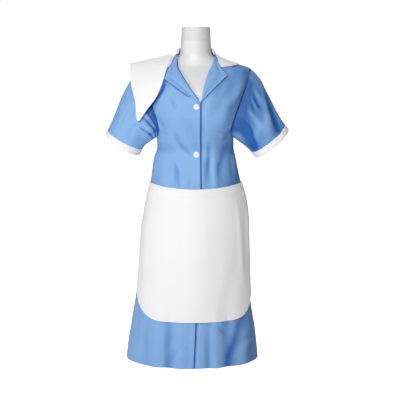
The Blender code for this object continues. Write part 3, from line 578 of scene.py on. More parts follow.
def clothMaterial(name, look):
    # plain weave on the piece's own map, which is in metres along the cloth, with slubs, a faint random
    # cloud, and painted shade in folds, armhole dips and beside edges
    material, shader = newMaterial(name, look["roughness"], look["lit"])
    tree = material.node_tree
    shader.inputs["Sheen Weight"].default_value = look["sheen"]
    shader.inputs["Sheen Roughness"].default_value = 0.45
    shader.inputs["Sheen Tint"].default_value = look["sheenTint"]
    shader.inputs["Specular IOR Level"].default_value = look["specular"]
    shader.inputs["IOR"].default_value = look["ior"]
    flatMap = wireUp(tree, "ShaderNodeUVMap", {}, {}).outputs["UV"]
    paintedShade = wireUp(tree, "ShaderNodeAttribute", {"attribute_name": "paintedShade"}, {}).outputs["Fac"]
    threads = []
    for turn in (0.0, math.pi / 2.0):
        turned = wireUp(tree, "ShaderNodeMapping", {}, {"Vector": flatMap, "Rotation": (0.0, 0.0, turn)})
        wave = wireUp(tree, "ShaderNodeTexWave", {"bands_direction": "X"},
                      {"Vector": turned.outputs["Vector"],
                       "Scale": clothLook["waveRun"] / clothLook["threadSpacing"]})
        threads.append(wave.outputs["Fac"])
    stretched = []
    seldom, often = clothLook["slubs"]
    for scale in ((seldom, often, 1.0), (often, seldom, 1.0)):
        mapped = wireUp(tree, "ShaderNodeMapping", {}, {"Vector": flatMap, "Scale": scale})
        stretched.append(noiseOf(tree, mapped.outputs["Vector"], 1.0, 3.0, 0.6))
    slubs = mathOf(tree, "MAXIMUM", stretched[0], stretched[1])
    place = wireUp(tree, "ShaderNodeTexCoord", {}, {}).outputs["Object"]
    cloud = noiseOf(tree, place, clothLook["cloudScale"], 4.0, 0.55)
    cloudShare = rangeOf(tree, cloud, 0.35, 0.70, 0.0, look["cloud"])
    # painted shade from the point attribute, and the faint random cloud, both mix the colour toward the
    # shade colour
    foldShadeShare = rangeOf(tree, paintedShade, 0.02, 0.95, 0.0, look["foldShadeMix"])
    shadeAndCloudShare = mathOf(tree, "ADD", foldShadeShare, cloudShare)
    base = mixColors(tree, rangeOf(tree, slubs, 0.52, 0.78, 0.0, 0.55), look["lit"], look["slub"])
    tree.links.new(mixColors(tree, shadeAndCloudShare, base, look["shadeAndCloud"]), shader.inputs["Base Color"])
    weave = mathOf(tree, "MULTIPLY", threads[0], threads[1])
    fine = bumpOf(tree, weave, look["weave"], 0.0002)
    tree.links.new(bumpOf(tree, slubs, look["slubBump"], 0.0005, fine), shader.inputs["Normal"])
    return material


def satinMaterial(name, color, roughness, speckle, metallic=0.0, coat=0.0):
    # a smooth hard surface with faint mottling and fine unevenness in its gloss
    material, shader = newMaterial(name, roughness, color)
    tree = material.node_tree
    shader.inputs["Metallic"].default_value = metallic
    shader.inputs["Coat Weight"].default_value = coat
    place = wireUp(tree, "ShaderNodeTexCoord", {}, {}).outputs["Object"]
    mottle = noiseOf(tree, place, hardLook["mottleScale"], 5.0)
    grain = noiseOf(tree, place, hardLook["grainScale"], 2.0)
    worn = tuple(c * (1.0 - speckle) for c in color[:3]) + (1.0,)
    patches = rangeOf(tree, mottle, 0.4, 0.7, 0.0, 1.0)
    tree.links.new(mixColors(tree, patches, color, worn), shader.inputs["Base Color"])
    gloss = rangeOf(tree, mottle, 0.3, 0.7, roughness - 0.04, roughness + 0.05)
    tree.links.new(gloss, shader.inputs["Roughness"])
    tree.links.new(bumpOf(tree, grain, 0.04, 0.0003), shader.inputs["Normal"])
    return material


def turnedMetal(name, color, roughness):
    # fine rings round the upright axis, as a lathe leaves them
    material, shader = newMaterial(name, roughness, color)
    tree = material.node_tree
    shader.inputs["Metallic"].default_value = 1.0
    place = wireUp(tree, "ShaderNodeTexCoord", {}, {}).outputs["Object"]
    rings = wireUp(tree, "ShaderNodeTexWave", {"wave_type": "RINGS", "rings_direction": "Z"},
                   {"Vector": place, "Scale": hardLook["ringScale"],
                    "Distortion": 0.6, "Detail": 2.0}).outputs["Fac"]
    gloss = rangeOf(tree, rings, 0.0, 1.0, roughness - 0.05, roughness + 0.08)
    tree.links.new(gloss, shader.inputs["Roughness"])
    tree.links.new(bumpOf(tree, rings, 0.05, 0.0002), shader.inputs["Normal"])
    return material


blueCloth = clothMaterial("bluePoplin", clothLook["blue"])
whiteCloth = clothMaterial("whitePoplin", clothLook["white"])
blueThread = satinMaterial("blueThread", (0.16, 0.34, 0.70, 1.0), 0.55, 0.1)
whiteThread = satinMaterial("whiteThread", (0.83, 0.83, 0.84, 1.0), 0.6, 0.05)
buttonPlastic = satinMaterial("buttonPlastic", (0.74, 0.75, 0.80, 1.0), 0.22, 0.05, coat=0.5)
formPlastic = satinMaterial("formPlastic", (0.625, 0.625, 0.63, 1.0), 0.42, 0.02)
capPlastic = satinMaterial("capPlastic", (0.59, 0.59, 0.595, 1.0), 0.6, 0.02)
standSteel = turnedMetal("standSteel", (0.60, 0.60, 0.61, 1.0), 0.30)
print("materials made")

dressPattern = {
    "gap": 0.3,
    "shell": 1.5,  # the solids' cloth, which the lapped front allows for
    "thickness": 0.9,
    "armholeStart": 0.58,
    # up the side seam, then round the front of the armhole: row, angle, height
    "sideEdge": (
        (0, 90, 4.5), (0.40, 90, 600), (0.58, 90, 790), (0.605, 76, 793.5), (0.63, 67, 803),
        (0.66, 62, 819), (0.70, 60.5, 842), (0.74, 61.5, 868), (0.79, 64, 901), (0.84, 67, 935),
        (0.90, 71, 968), (0.96, 77, 1002), (1, 90, 1026),
    ),
    # the fronts' free edges and roll lines up to the neck: row, x, height
    "rightCentre": (
        (0, -9, 4.5), (0.10, -1.7, 159), (0.28, 12, 420), (0.40, 15, 600), (0.58, 13.8, 790),
        (0.73, 14, 914), (0.80, -20, 967.5), (0.87, -53, 1018), (0.91, -61, 1040),
        (0.945, -63, 1058), (0.98, -65, 1073), (1, -80, 1079),
    ),
    "leftCentre": (
        (0, -32, 4.5), (0.10, -25, 159), (0.28, -17, 420), (0.40, -14, 600), (0.58, -15, 790),
        (0.705, -15, 890), (0.745, 17, 921), (0.80, 26, 966), (0.86, 46, 1025), (0.90, 56, 1043),
        (0.945, 61, 1060), (0.98, 64.5, 1073), (1, 80, 1079),
    ),
    # the centre back seam, then the back of the neck round to the shoulder: row, angle, height
    "backCentre": (
        (0, 180, 4.5), (0.40, 180, 600), (0.58, 180, 790), (0.84, 180, 1082), (0.90, 150, 1081.5),
        (0.95, 118, 1080), (1, 90, 1079),
    ),
    "lapProud": 1.7,
    "lapUnder": (3, 26),  # past the lap's edge, the left front rises level between these
    "lapFade": (925, 950),  # the lap ends between these heights
    # how deep the front armhole's seam lies between front and sleeve: height, wearer's right, left
    "armholeDip": (
        (780, 0, 0), (800, 4.0, 2.5), (820, 11.0, 9.0), (860, 16.0, 15.0), (905, 17.0, 16.0),
        (950, 14.0, 10.0), (985, 7.0, 4.0), (1012, 0, 0), (1040, 0, 0),
    ),
    "dipLip": 11,
    "dipSleeve": 38,
    # a dip this deep takes the full painted shade
    "dipShade": 12,
    "lapEndHeight": 914,
    "lapEnd": 0.73,  # the row where the lapped edge turns back as the lapel
    # painted shade on the wearer's left side, turned from the light: how much deeper it makes the blue,
    # between two angles
    "awayShade": 0.58,
    "awayFrom": (0.30, 1.25),
    # how strong the painted shadow is along the lapel's free edge, the scarf's edge and the lapped edge
    "lapelShade": 1.2,
    "scarfShade": 1.3,
    "lapShade": 1.2,
    "hem": 24,
    "frontGrid": (92, 350),
    "backGrid": (72, 280),
    "frontFlat": (0.34, 1.09),
    "backFlat": (0.32, 1.10),
    "frontArea": 0.264,
    "backArea": 0.257,
}


def sideEdge(row):
    table = dressPattern["sideEdge"]
    return np.radians(readTable(table, 1, row)), readTable(table, 2, row) * mm


def armholeDip(angle, height, side, lip=dressPattern["dipLip"]):
    # the wall rolls in toward the front armhole's seam
    table = dressPattern["armholeDip"]
    depth = readTable(table, 2 if side > 0 else 1, height / mm) * mm
    rows = dressPattern["sideEdge"][2:]
    seam = np.radians(smoothCurve(tableColumn(rows, 2), tableColumn(rows, 1), height / mm))
    away = np.abs(seam - np.abs(angle)) * sectionAt(2, height)
    return depth * np.exp(-((away / (lip * mm)) ** 2))


def seamAngle(height):
    gap = dressPattern["gap"] * mm
    return between(0.1 * gap, 1.2 * gap, ramp(height, 950 * mm, 1010 * mm)) / sectionAt(3, height)


def centreEdge(row, table):
    height = readTable(table, 2, row) * mm
    return angleAt(readTable(table, 1, row) * mm, height), height


def pastLap(angle, height, row):
    # how far a place on the front lies past the lapped edge, toward the wearer's left
    lappedX = readTable(dressPattern["rightCentre"], 1, np.minimum(row, dressPattern["lapEnd"])) * mm
    return bareBody(angle, height, False)[:, 0] - lappedX


def frontRight(u, v):
    centreAngle, centreHeight = centreEdge(v, dressPattern["rightCentre"])
    edgeAngle, edgeHeight = sideEdge(v)
    centreAngle = np.maximum(centreAngle, -np.pi / 2.0 + seamAngle(centreHeight))
    edgeAngle = seamAngle(edgeHeight) - edgeAngle
    angle = between(edgeAngle, centreAngle, u)
    height = between(edgeHeight, centreHeight, u)
    proud = dressPattern["lapProud"] * mm * ramp(u, 0.90, 1.0) * (1.0 - ramp(v, 0.70, 0.74))
    return onBody(angle, height, proud - armholeDip(angle, height, -1), fine=True)


def frontLeft(u, v):
    centreAngle, centreHeight = centreEdge(v, dressPattern["leftCentre"])
    edgeAngle, edgeHeight = sideEdge(v)
    centreAngle = np.minimum(centreAngle, np.pi / 2.0 - seamAngle(centreHeight))
    edgeAngle = edgeAngle - seamAngle(edgeHeight)
    height = between(centreHeight, edgeHeight, u)
    angle = between(centreAngle, edgeAngle, u)
    near, far = dressPattern["lapUnder"]
    low, high = dressPattern["lapFade"]
    under = 1.0 - ramp(pastLap(angle, height, v), near * mm, far * mm)
    under *= 1.0 - ramp(height, low * mm, high * mm)
    drop = (dressPattern["shell"] + 4.0 * dressPattern["gap"]) * mm
    return onBody(angle, height, -drop * under - armholeDip(angle, height, 1), fine=True)


def dressBack(side):
    def surface(u, v):
        centreAngle = np.radians(readTable(dressPattern["backCentre"], 1, v))
        centreHeight = readTable(dressPattern["backCentre"], 2, v) * mm
        edgeAngle, edgeHeight = sideEdge(v)
        edgeAngle = np.pi - edgeAngle + seamAngle(edgeHeight)
        centreAngle = np.maximum(centreAngle, np.pi / 2.0 + seamAngle(centreHeight))
        centreAngle = np.minimum(centreAngle, np.pi - seamAngle(centreHeight))
        share = u if side > 0 else 1.0 - u
        angle = between(edgeAngle, centreAngle, share)
        return onBody(angle * side, between(edgeHeight, centreHeight, share), fine=True)

    return surface


def besideLine(x, height, line, reach):
    # 1 along a line of places on the front, none a few reaches away
    nearest = np.full(len(x), 1.0)
    for before, after in zip(line[:-1], line[1:]):
        start = np.array(before) * mm
        run = np.array(after) * mm - start
        t = np.clip(((x - start[0]) * run[0] + (height - start[1]) * run[1]) / (run @ run), 0.0, 1.0)
        away = np.hypot(x - start[0] - t * run[0], height - start[1] - t * run[1])
        nearest = np.minimum(nearest, away)
    return np.exp(-((nearest / (reach * mm)) ** 2))


def frontShade(side):
    # painted shade on the fronts: in the armhole dip and on the wearer's left side turned from the light,
    # and painted shadows beside the lapel's free edge, the scarf's edge and the lapped edge
    title = "right" if side < 0 else "left"

    def shade(u, v):
        centreAngle, centreHeight = centreEdge(v, dressPattern[title + "Centre"])
        edgeAngle, edgeHeight = sideEdge(v)
        share = u if side > 0 else 1.0 - u
        angle = between(np.abs(centreAngle), edgeAngle, share)
        height = between(centreHeight, edgeHeight, share)
        dark = armholeDip(angle, height, side) / (dressPattern["dipShade"] * mm)
        x = bareBody(angle * side, height, False)[:, 0]
        freeEdge = [row[3:] for row in lapelPattern[title][:-1]]
        lapelShadow = besideLine(x, height, freeEdge, lapelPattern["shadeReach"])
        dark = dark + dressPattern["lapelShade"] * lapelShadow
        if side < 0:
            scarfShadow = besideLine(x, height, scarfPattern["shadeLine"], scarfPattern["shadeReach"])
            dark = dark + dressPattern["scarfShade"] * scarfShadow
        if side > 0:
            dark = dark + dressPattern["awayShade"] * ramp(angle, *dressPattern["awayFrom"])
            past = pastLap(between(centreAngle, edgeAngle, u), height, v) / mm
            lapShadow = (1.0 - ramp(past, 2.5, 8.0)) * (1.0 - ramp(height, 0.93, 0.95))
            dark = dark + dressPattern["lapShade"] * lapShadow
        return dark

    return shade


def backShade(u, v):
    # painted shade for the side turned from the light, fading out from the wearer's left side seam to the
    # centre back
    return dressPattern["awayShade"] * (1.0 - ramp(u, 0.15, 0.85))


def sleeveWaves(around, v, rows):
    # long soft waves that lean round the sleeve, each strongest at its own place
    total = np.zeros_like(v)
    for place, along, width, lengthAlong, height, lean in rows:
        off = np.abs(around - place - lean * (v - along))
        off = np.minimum(off, 1.0 - off)
        fade = np.sin(np.pi * np.clip((v - along) / (2.0 * lengthAlong) + 0.5, 0.0, 1.0))
        total += height * fade * np.exp(-((off / width) ** 2))
    return total


def sleeveShade(name):
    # painted shade on the sleeves: in the armhole dip, over the wearer's left sleeve as it turns from the
    # light, and in its folds
    def shade(u, v):
        side = sleevePattern[name][0]
        around = u if side > 0 else 1.0 - u
        level, dip = armhole(around, side)
        depth = np.linalg.norm(dip, axis=1) / (dressPattern["dipShade"] * mm)
        dark = sleevePattern["shadeDepth"] * depth * np.exp(-((v / sleevePattern["shadeReach"]) ** 2))
        dark = dark + sleevePattern["awayShare"] * dressPattern["awayShade"] * (side > 0)
        return dark + sleeveWaves(around, v, sleevePattern["shades"][name])

    return shade


def makeDressBody():
    seam = ("seam", 0)
    hem = ("hem", dressPattern["hem"])
    fold = ("hem", 5.0)
    thickness = dressPattern["thickness"]
    backEdges = {"start": seam, "end": seam, "bottom": hem, "top": seam}
    made = {}
    for name, node, surface, edges, shade in (
        ("dressFrontRight", "dress_front_right", frontRight,
         {"start": seam, "end": fold, "bottom": hem}, frontShade(-1)),
        ("dressFrontLeft", "dress_front_left", frontLeft,
         {"start": fold, "end": seam, "bottom": hem}, frontShade(1)),
        ("dressBackRight", "dress_back_right", dressBack(-1), backEdges, None),
        ("dressBackLeft", "dress_back_left", dressBack(1), backEdges, backShade),
    ):
        part = "front" if "Front" in name else "back"
        across, along = dressPattern[part + "Grid"]
        piece, points = makeSheet(name, surface, across, along, thickness, blueCloth, "dress",
                                  edges, shade=shade)
        noteStitches(points, "bottom", dressPattern["hem"], "blue")
        made[name] = (piece, points, node, part)
    noteStitches(made["dressFrontRight"][1], "end", 5.0, "blue")
    for piece, points, node, part in made.values():
        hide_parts(node)
    print("dress body made")


sleevePattern = {
    # side, outer x, outer z, inner x, inner z, half depth, tilt
    "right": (-1, -307, 816, -186, 750, 56, 9),
    "left": (1, 308, 836, 191, 740, 58, 13),
    "seam": -0.8,
    "middleY": -5,
    # which way the cloth leaves the armhole: outwards and down at the top, and underneath
    "leaveTop": (0.80, -0.60),
    "leaveUnder": (0.75, -0.66),
    "leaveFront": -0.42,
    "thickness": 0.9,
    # painted shade from the armhole dip: how far down the sleeve it reaches, how strong it is, and the
    # share of the side's painted shade on the wearer's left sleeve
    "shadeReach": 0.15,
    "shadeDepth": 1.25,
    "awayShare": 0.7,
    "grid": (150, 74),
    "cuffGrid": (150, 14),
    "cuffDepth": 24,
    "cuffOuterDepth": {"right": 15, "left": 21},
    "cuffThickness": 1.9,
    # where round it (0 top, 0.25 front), where along it, widths, rise, how much it leans round
    "folds": {
        "right": (
            (0.20, 0.30, 0.035, 0.35, -4.0, 0.0),
            (0.36, 0.25, 0.030, 0.40, 4.0, 0.0),
            (0.30, 0.70, 0.030, 0.35, 3.0, 0.0),
            (0.62, 0.40, 0.050, 0.40, -4.0, 0.0),
            (0.80, 0.45, 0.050, 0.40, 4.0, 0.0),
        ),
        "left": (
            (0.14, 0.35, 0.035, 0.30, -5.0, 0.0),
            (0.24, 0.45, 0.030, 0.40, 5.0, 0.0),
            (0.33, 0.30, 0.030, 0.40, -5.0, 0.0),
            (0.42, 0.60, 0.035, 0.35, 4.0, 0.0),
            (0.60, 0.40, 0.050, 0.40, -4.0, 0.0),
            (0.78, 0.45, 0.050, 0.40, 4.0, 0.0),
        ),
    },
    "creases": {
        "right": (
            (0.345, 0.12, 0.022, 0.12, -4.2, -1.40),
            (0.362, 0.16, 0.020, 0.13, 2.4, -1.35),
            (0.375, 0.21, 0.022, 0.15, -3.8, -1.20),
            (0.395, 0.27, 0.020, 0.18, 2.2, -1.00),
            (0.410, 0.34, 0.022, 0.22, -3.2, -0.80),
            (0.15, 0.62, 0.010, 0.26, -1.4, 0.06),
            (0.10, 0.82, 0.008, 0.18, -1.2, 0.04),
            (0.06, 0.40, 0.012, 0.30, 1.2, 0.05),
            (0.57, 0.26, 0.010, 0.30, -3.2, 0.10),
            (0.62, 0.30, 0.010, 0.30, 2.0, 0.12),
            (0.72, 0.55, 0.013, 0.30, -2.2, 0.08),
        ),
        "left": (
            (0.270, 0.30, 0.110, 0.34, -8.0, 0.05),
            (0.215, 0.80, 0.050, 0.48, 6.5, 0.26),
            (0.110, 0.78, 0.040, 0.50, -10.0, 0.22),
            (0.375, 0.66, 0.050, 0.52, -12.5, 0.06),
            (0.405, 0.45, 0.022, 0.36, 3.5, -0.08),
            (0.075, 0.30, 0.011, 0.15, -2.2, 0.10),
            (0.105, 0.28, 0.010, 0.13, 1.8, 0.12),
            (0.135, 0.30, 0.011, 0.16, -2.6, 0.16),
            (0.165, 0.25, 0.010, 0.14, 1.8, 0.20),
            (0.190, 0.27, 0.011, 0.15, -2.2, 0.24),
            (0.225, 0.24, 0.012, 0.16, 2.0, 0.20),
            (0.38, 0.22, 0.013, 0.24, -4.0, -0.10),
            (0.58, 0.26, 0.012, 0.30, -3.0, 0.10),
            (0.64, 0.32, 0.013, 0.30, 2.0, 0.12),
            (0.74, 0.55, 0.014, 0.30, -2.2, 0.08),
        ),
    },
    # the same places and widths, for the painted shade in the cloth's folds there
    "shades": {
        "right": (
            (0.345, 0.12, 0.026, 0.13, 0.62, -1.40),
            (0.375, 0.21, 0.025, 0.16, 0.55, -1.20),
            (0.410, 0.34, 0.025, 0.20, 0.40, -0.80),
            (0.400, 0.18, 0.085, 0.26, 0.36, 0.0),
        ),
        "left": (
            (0.105, 0.74, 0.040, 0.42, 0.50, 0.16),
            (0.390, 0.62, 0.060, 0.50, 0.75, 0.04),
            (0.250, 0.26, 0.120, 0.26, 0.32, 0.05),
        ),
    },
    "flat": {"right": (0.57, 0.244), "left": (0.575, 0.227)},
    "area": {"right": 0.068, "left": 0.0707},
    "cuffFlat": {"right": (0.402, 0.024), "left": (0.432, 0.024)},
}


def armhole(around, side):
    front = around <= 0.5
    share = np.where(front, 1.0 - 2.0 * around, 2.0 * around - 1.0)
    start = dressPattern["armholeStart"]
    angle, height = sideEdge(start + (1.0 - start) * share)
    dip = np.where(front, armholeDip(angle, height, side), 0.0)
    angle = np.where(front, angle, np.pi - angle)
    level = onBody(angle * side, height, fine=True)
    return level, onBody(angle * side, height, -dip, fine=True) - level


def sleeveFrame(name):
    side, outerX, outerZ, innerX, innerZ, halfDepth, tilt = sleevePattern[name]
    outer = np.array([outerX, 0.0, outerZ]) * mm
    inner = np.array([innerX, 0.0, innerZ]) * mm
    halfWidth = np.linalg.norm(inner - outer) / 2.0
    inwards = (inner - outer) / (2.0 * halfWidth)
    down = np.array([-inwards[2] * side, 0.0, inwards[0] * side])
    middle = (outer + inner) / 2.0 + np.array([0.0, sleevePattern["middleY"] * mm, 0.0])
    return side, middle, inwards, down, halfWidth, halfDepth * mm, tilt * mm


def sleeveHem(around, name):
    side, middle, inwards, down, halfWidth, halfDepth, tilt = sleeveFrame(name)
    turn = 2.0 * np.pi * around[:, None]
    depthwise = np.array([0.0, -1.0, 0.0])
    roundHem = -inwards * halfWidth * np.cos(turn) + depthwise * halfDepth * np.sin(turn)
    return middle + roundHem + down * tilt * np.sin(turn)


def awayFrom(points, middle, down):
    outwards = points - middle
    outwards = outwards - (outwards @ down)[:, None] * down
    return outwards / np.linalg.norm(outwards, axis=1, keepdims=True)


def sleeveSurface(name):
    def surface(u, v):
        side, middle, inwards, down, halfWidth, halfDepth, tilt = sleeveFrame(name)
        around = u if side > 0 else 1.0 - u
        turn = 2.0 * np.pi * around[:, None]
        start, dip = armhole(around, side)
        end = sleeveHem(around, name)
        top = (1.0 + np.cos(turn)) / 2.0
        topOut, topDown = sleevePattern["leaveTop"]
        underOut, underDown = sleevePattern["leaveUnder"]
        leave = top * np.array([topOut * side, 0.0, topDown])
        leave = leave + (1.0 - top) * np.array([underOut * side, 0.0, underDown])
        leave = leave + np.sin(turn) * np.array([0.0, sleevePattern["leaveFront"], 0.0])
        leave /= np.linalg.norm(leave, axis=1, keepdims=True)
        start = start + leave * sleevePattern["seam"] * mm * (0.55 + 0.45 * np.cos(turn) ** 2)
        length = np.linalg.norm(end - start, axis=1, keepdims=True)
        t = v[:, None]
        points = (
            start * (1.0 + 2.0 * t) * (1.0 - t) ** 2
            + end * t * t * (3.0 - 2.0 * t)
            + leave * length * t * (1.0 - t) ** 2
            - down * length * t * t * (1.0 - t)
        )
        points = points + dip * np.exp(-((t * length / (dressPattern["dipSleeve"] * mm)) ** 2))
        outwards = awayFrom(points, between(middle, start.mean(axis=0), 1.0 - t), down)
        waves = sleevePattern["folds"][name] + sleevePattern["creases"][name]
        rise = sleeveWaves(around, v, waves) * mm
        rise *= np.sin(np.pi * np.clip(v, 0.0, 1.0)) ** 0.5
        return points + outwards * rise[:, None]

    return surface


def cuffSurface(name):
    def surface(u, v):
        side, middle, inwards, down, halfWidth, halfDepth, tilt = sleeveFrame(name)
        around = u if side > 0 else 1.0 - u
        hem = sleeveHem(around, name)
        outwards = awayFrom(hem, middle, down)
        atOuter = np.clip(np.cos(2.0 * np.pi * around), 0.0, 1.0) ** 2
        depth = between(sleevePattern["cuffDepth"], sleevePattern["cuffOuterDepth"][name], atOuter) * mm
        belly = 0.5 * mm + 0.5 * mm * np.sin(np.pi * v) + 0.25 * mm * unevenWave(around, 0.11) * v
        return hem + down * (0.3 * mm + depth * v)[:, None] + outwards * belly[:, None]

    return surface


def makeSleeves():
    for name in ("right", "left"):
        title = name.capitalize()
        edges = {"bottom": ("seam", 0), "top": ("seam", 0)}
        sleeve, points = makeSheet("sleeve" + title, sleeveSurface(name), *sleevePattern["grid"],
                                   sleevePattern["thickness"], blueCloth, "dress", edges,
                                   closed=True, shade=sleeveShade(name))
        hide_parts("sleeve_" + name)
        edges = {"bottom": ("fold", 0), "top": ("fold", 0)}
        cuff, points = makeSheet("cuff" + title, cuffSurface(name), *sleevePattern["cuffGrid"],
                                 sleevePattern["cuffThickness"], whiteCloth, "white_cloth", edges,
                                 closed=True)
        noteStitches(points, "bottom", 3.0, "white", closed=True)
        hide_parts("cuff_" + name)
    print("sleeves and cuffs made")


collarPattern = {
    # from one front end round to the middle of the back: around, fold angle, stand, outer angle, outer z
    "run": (
        (0, 75, 1.8, 67, 1039), (0.10, 86, 11, 86, 1043), (0.22, 104, 15, 110, 1043),
        (0.36, 140, 17, 143, 1040), (0.50, 180, 17.5, 180, 1037),
    ),
    # the front edge, fold to notch to point: across, x, z
    "end": ((0, 70.5, 1076.5), (0.42, 88, 1031.5), (1, 144.5, 1039)),
    "rightEndShift": 7,
    # the stand and fold: across, rise as a share of the stand, distance from the body
    "fold": (
        (0, 0.06, -2.9), (0.12, 0.62, -2.9), (0.20, 0.94, -2.5), (0.26, 1.10, -0.6), (0.32, 0.94, 1.6),
    ),
    "lift": 3.4,
    "fallBelly": 1.2,
    # a crease across the left leaf: place along the collar, lean, width, depth
    "leafCrease": (0.075, 0.05, 0.016, 0.9),
    "thickness": 1.0,
    "neckHeight": 1079,
    "neckBackHeight": 1082,
    "neckFrontHeight": 1073.5,
    "grid": (54, 156),
    "flat": (0.41, 0.15),
    "area": 0.0323,
}
lapelPattern = {
    # the roll line and the outer edge, from the break to the collar: row, roll x, z, outer x, z
    "right": (
        (0, 12.5, 918.5, 11, 915.5), (0.30, -16, 963, -39, 947), (0.60, -44, 1005, -106, 993.5),
        (0.80, -60, 1036, -91, 1031), (1, -62, 1067.5, -65, 1067),
    ),
    "left": (
        (0, 18.5, 924, 19.5, 921), (0.30, 26.5, 966, 54, 957), (0.60, 42, 1015, 107, 1005.5),
        (0.80, 56, 1042, 82.5, 1030), (1, 61.5, 1067.5, 63, 1067),
    ),
    "thickness": 0.9,
    "lift": 2.4,
    "roll": 2.8,
    "edgeCurl": 2.6,
    # painted shadow beside the lapel's free edge, and painted shade inside the roll line
    "shadeReach": 3.4,
    "rollShade": 1.2,
    "grid": (36, 90),
    "flat": (0.17, 0.067),
    "area": 0.0062,
}


def collarSurface(u, v):
    # the stand inside, the fold, and the fall lying on the shoulders
    nearest = np.minimum(v, 1.0 - v)
    side = np.where(v <= 0.5, 1.0, -1.0)
    run, fold, end = collarPattern["run"], collarPattern["fold"], collarPattern["end"]
    foldAngle = np.radians(readTable(run, 1, nearest))
    stand = readTable(run, 2, nearest) * mm
    outerAngle = np.radians(readTable(run, 3, nearest))
    outerHeight = readTable(run, 4, nearest) * mm
    neckFront, neck, neckBack = (collarPattern[key] * mm for key in
                                 ("neckFrontHeight", "neckHeight", "neckBackHeight"))
    seamHeight = between(neckFront, neck, ramp(foldAngle, 1.13, 1.57))
    seamHeight = between(seamHeight, neckBack, ramp(foldAngle, 1.57, 3.0)) + 1.0 * mm
    foldEnd = fold[-1][0]
    share = np.clip((u - foldEnd) / (1.0 - foldEnd), 0.0, 1.0)
    rise = readTable(fold, 1, np.minimum(u, foldEnd))
    lift = readTable(fold, 2, np.minimum(u, foldEnd)) * mm
    angle = between(foldAngle, outerAngle, share)
    height = between(seamHeight + stand * rise, outerHeight, share)
    endHeight = readTable(end, 2, share) * mm
    endX = readTable(end, 1, share) * mm
    notch = np.sin(np.pi * np.clip(share * 1.2, 0.0, 1.0))
    shift = np.where(side < 0.0, collarPattern["rightEndShift"] * mm, 0.0) * notch
    endAngle = angleAt(endX + shift, endHeight)
    nearEnd = (1.0 - ramp(nearest, 0.0, 0.12)) * ramp(share, 0.0, 0.15)
    firstAngle = between(np.radians(run[0][1]), np.radians(run[0][3]), share)
    firstHeight = between(end[0][2] * mm, run[0][4] * mm, share)
    angle = angle + nearEnd * (endAngle - firstAngle)
    height = height + nearEnd * (endHeight - firstHeight)
    settled = ramp(share, 0.0, 0.5)
    onFall = between(fold[-1][2] * mm, collarPattern["lift"] * mm, settled)
    onFall = onFall + collarPattern["fallBelly"] * mm * np.sin(np.pi * settled)
    place, lean, width, depth = collarPattern["leafCrease"]
    leafCrease = np.exp(-(((nearest - place - lean * share) / width) ** 2)) * np.sin(np.pi * share)
    onFall = onFall - depth * mm * leafCrease * (side > 0.0)
    return onBody(angle * side, height, np.where(share > 0.0, onFall, lift))


def lapelSurface(name, side):
    table = lapelPattern[name]

    def surface(u, v):
        rollHeight = readTable(table, 2, v) * mm
        rollAngle = angleAt(readTable(table, 1, v) * mm, rollHeight)
        knots = tableColumn(table, 0)
        outerHeight = np.interp(v, knots, tableColumn(table, 4)) * mm
        outerAngle = angleAt(np.interp(v, knots, tableColumn(table, 3)) * mm, outerHeight)
        share = u if side > 0 else 1.0 - u
        angle = between(rollAngle, outerAngle, share)
        height = between(rollHeight, outerHeight, share)
        middle = np.sin(np.pi * np.clip(v, 0.0, 1.0)) ** 0.5
        roll = np.sin(np.pi * np.clip(share * 1.6, 0.0, 1.0)) * middle
        curl = ramp(share, 0.55, 1.0) * middle
        lift = lapelPattern["lift"] + lapelPattern["roll"] * roll + lapelPattern["edgeCurl"] * curl
        return onBody(angle, height, lift * mm)

    return surface


def rollShade(u, v):
    # painted shade on the turned cloth just inside the wearer's right roll line, wider toward the collar
    reach = 0.075 + 0.30 * ramp(v, 0.72, 1.0)
    return lapelPattern["rollShade"] * (1.0 - ramp(1.0 - u, 0.02, reach))


def makeCollarAndLapels():
    edges = {"start": ("fold", 0), "end": ("hem", 5.0), "bottom": ("hem", 4.0), "top": ("hem", 4.0)}
    collar, points = makeSheet("shirtCollar", collarSurface, *collarPattern["grid"],
                               collarPattern["thickness"], whiteCloth, "white_cloth", edges,
                               ease=(0.2, 0.4))
    noteStitches(points, "end", 5.0, "white", skip=4.0)
    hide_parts("collar")
    for name, side in (("right", -1), ("left", 1)):
        free = "end" if side > 0 else "start"
        lapel, points = makeSheet("lapel" + name.capitalize(), lapelSurface(name, side),
                                  *lapelPattern["grid"], lapelPattern["thickness"], blueCloth, "dress",
                                  {free: ("fold", 0)}, ease=(0.5, 0.3),
                                  shade=rollShade if side < 0 else None)
        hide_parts("lapel_" + name)
    print("collar and lapels made")


def turnProfile(profile, steps):
    # an outline of radius and height, turned round the upright axis
    bpy.ops.object.select_all(action="DESELECT")
    bpy.ops.mesh.primitive_circle_add(vertices=8, radius=0.01)
    piece = bpy.context.object
    startEditing()
    bpy.ops.mesh.delete(type="VERT")
    bpy.ops.object.mode_set(mode="OBJECT")
    points = [(radius * mm, 0.0, height * mm) for radius, height in profile]
    piece.data.from_pydata(points, [(i, i + 1) for i in range(len(points) - 1)], [])
    startEditing()
    bpy.ops.mesh.spin(steps=steps, angle=2.0 * math.pi, center=(0, 0, 0), axis=(0, 0, 1))
    bpy.ops.mesh.select_all(action="SELECT")
    bpy.ops.mesh.remove_doubles(threshold=0.02 * mm)
    bpy.ops.mesh.normals_make_consistent(inside=False)
    bpy.ops.object.mode_set(mode="OBJECT")
    return piece


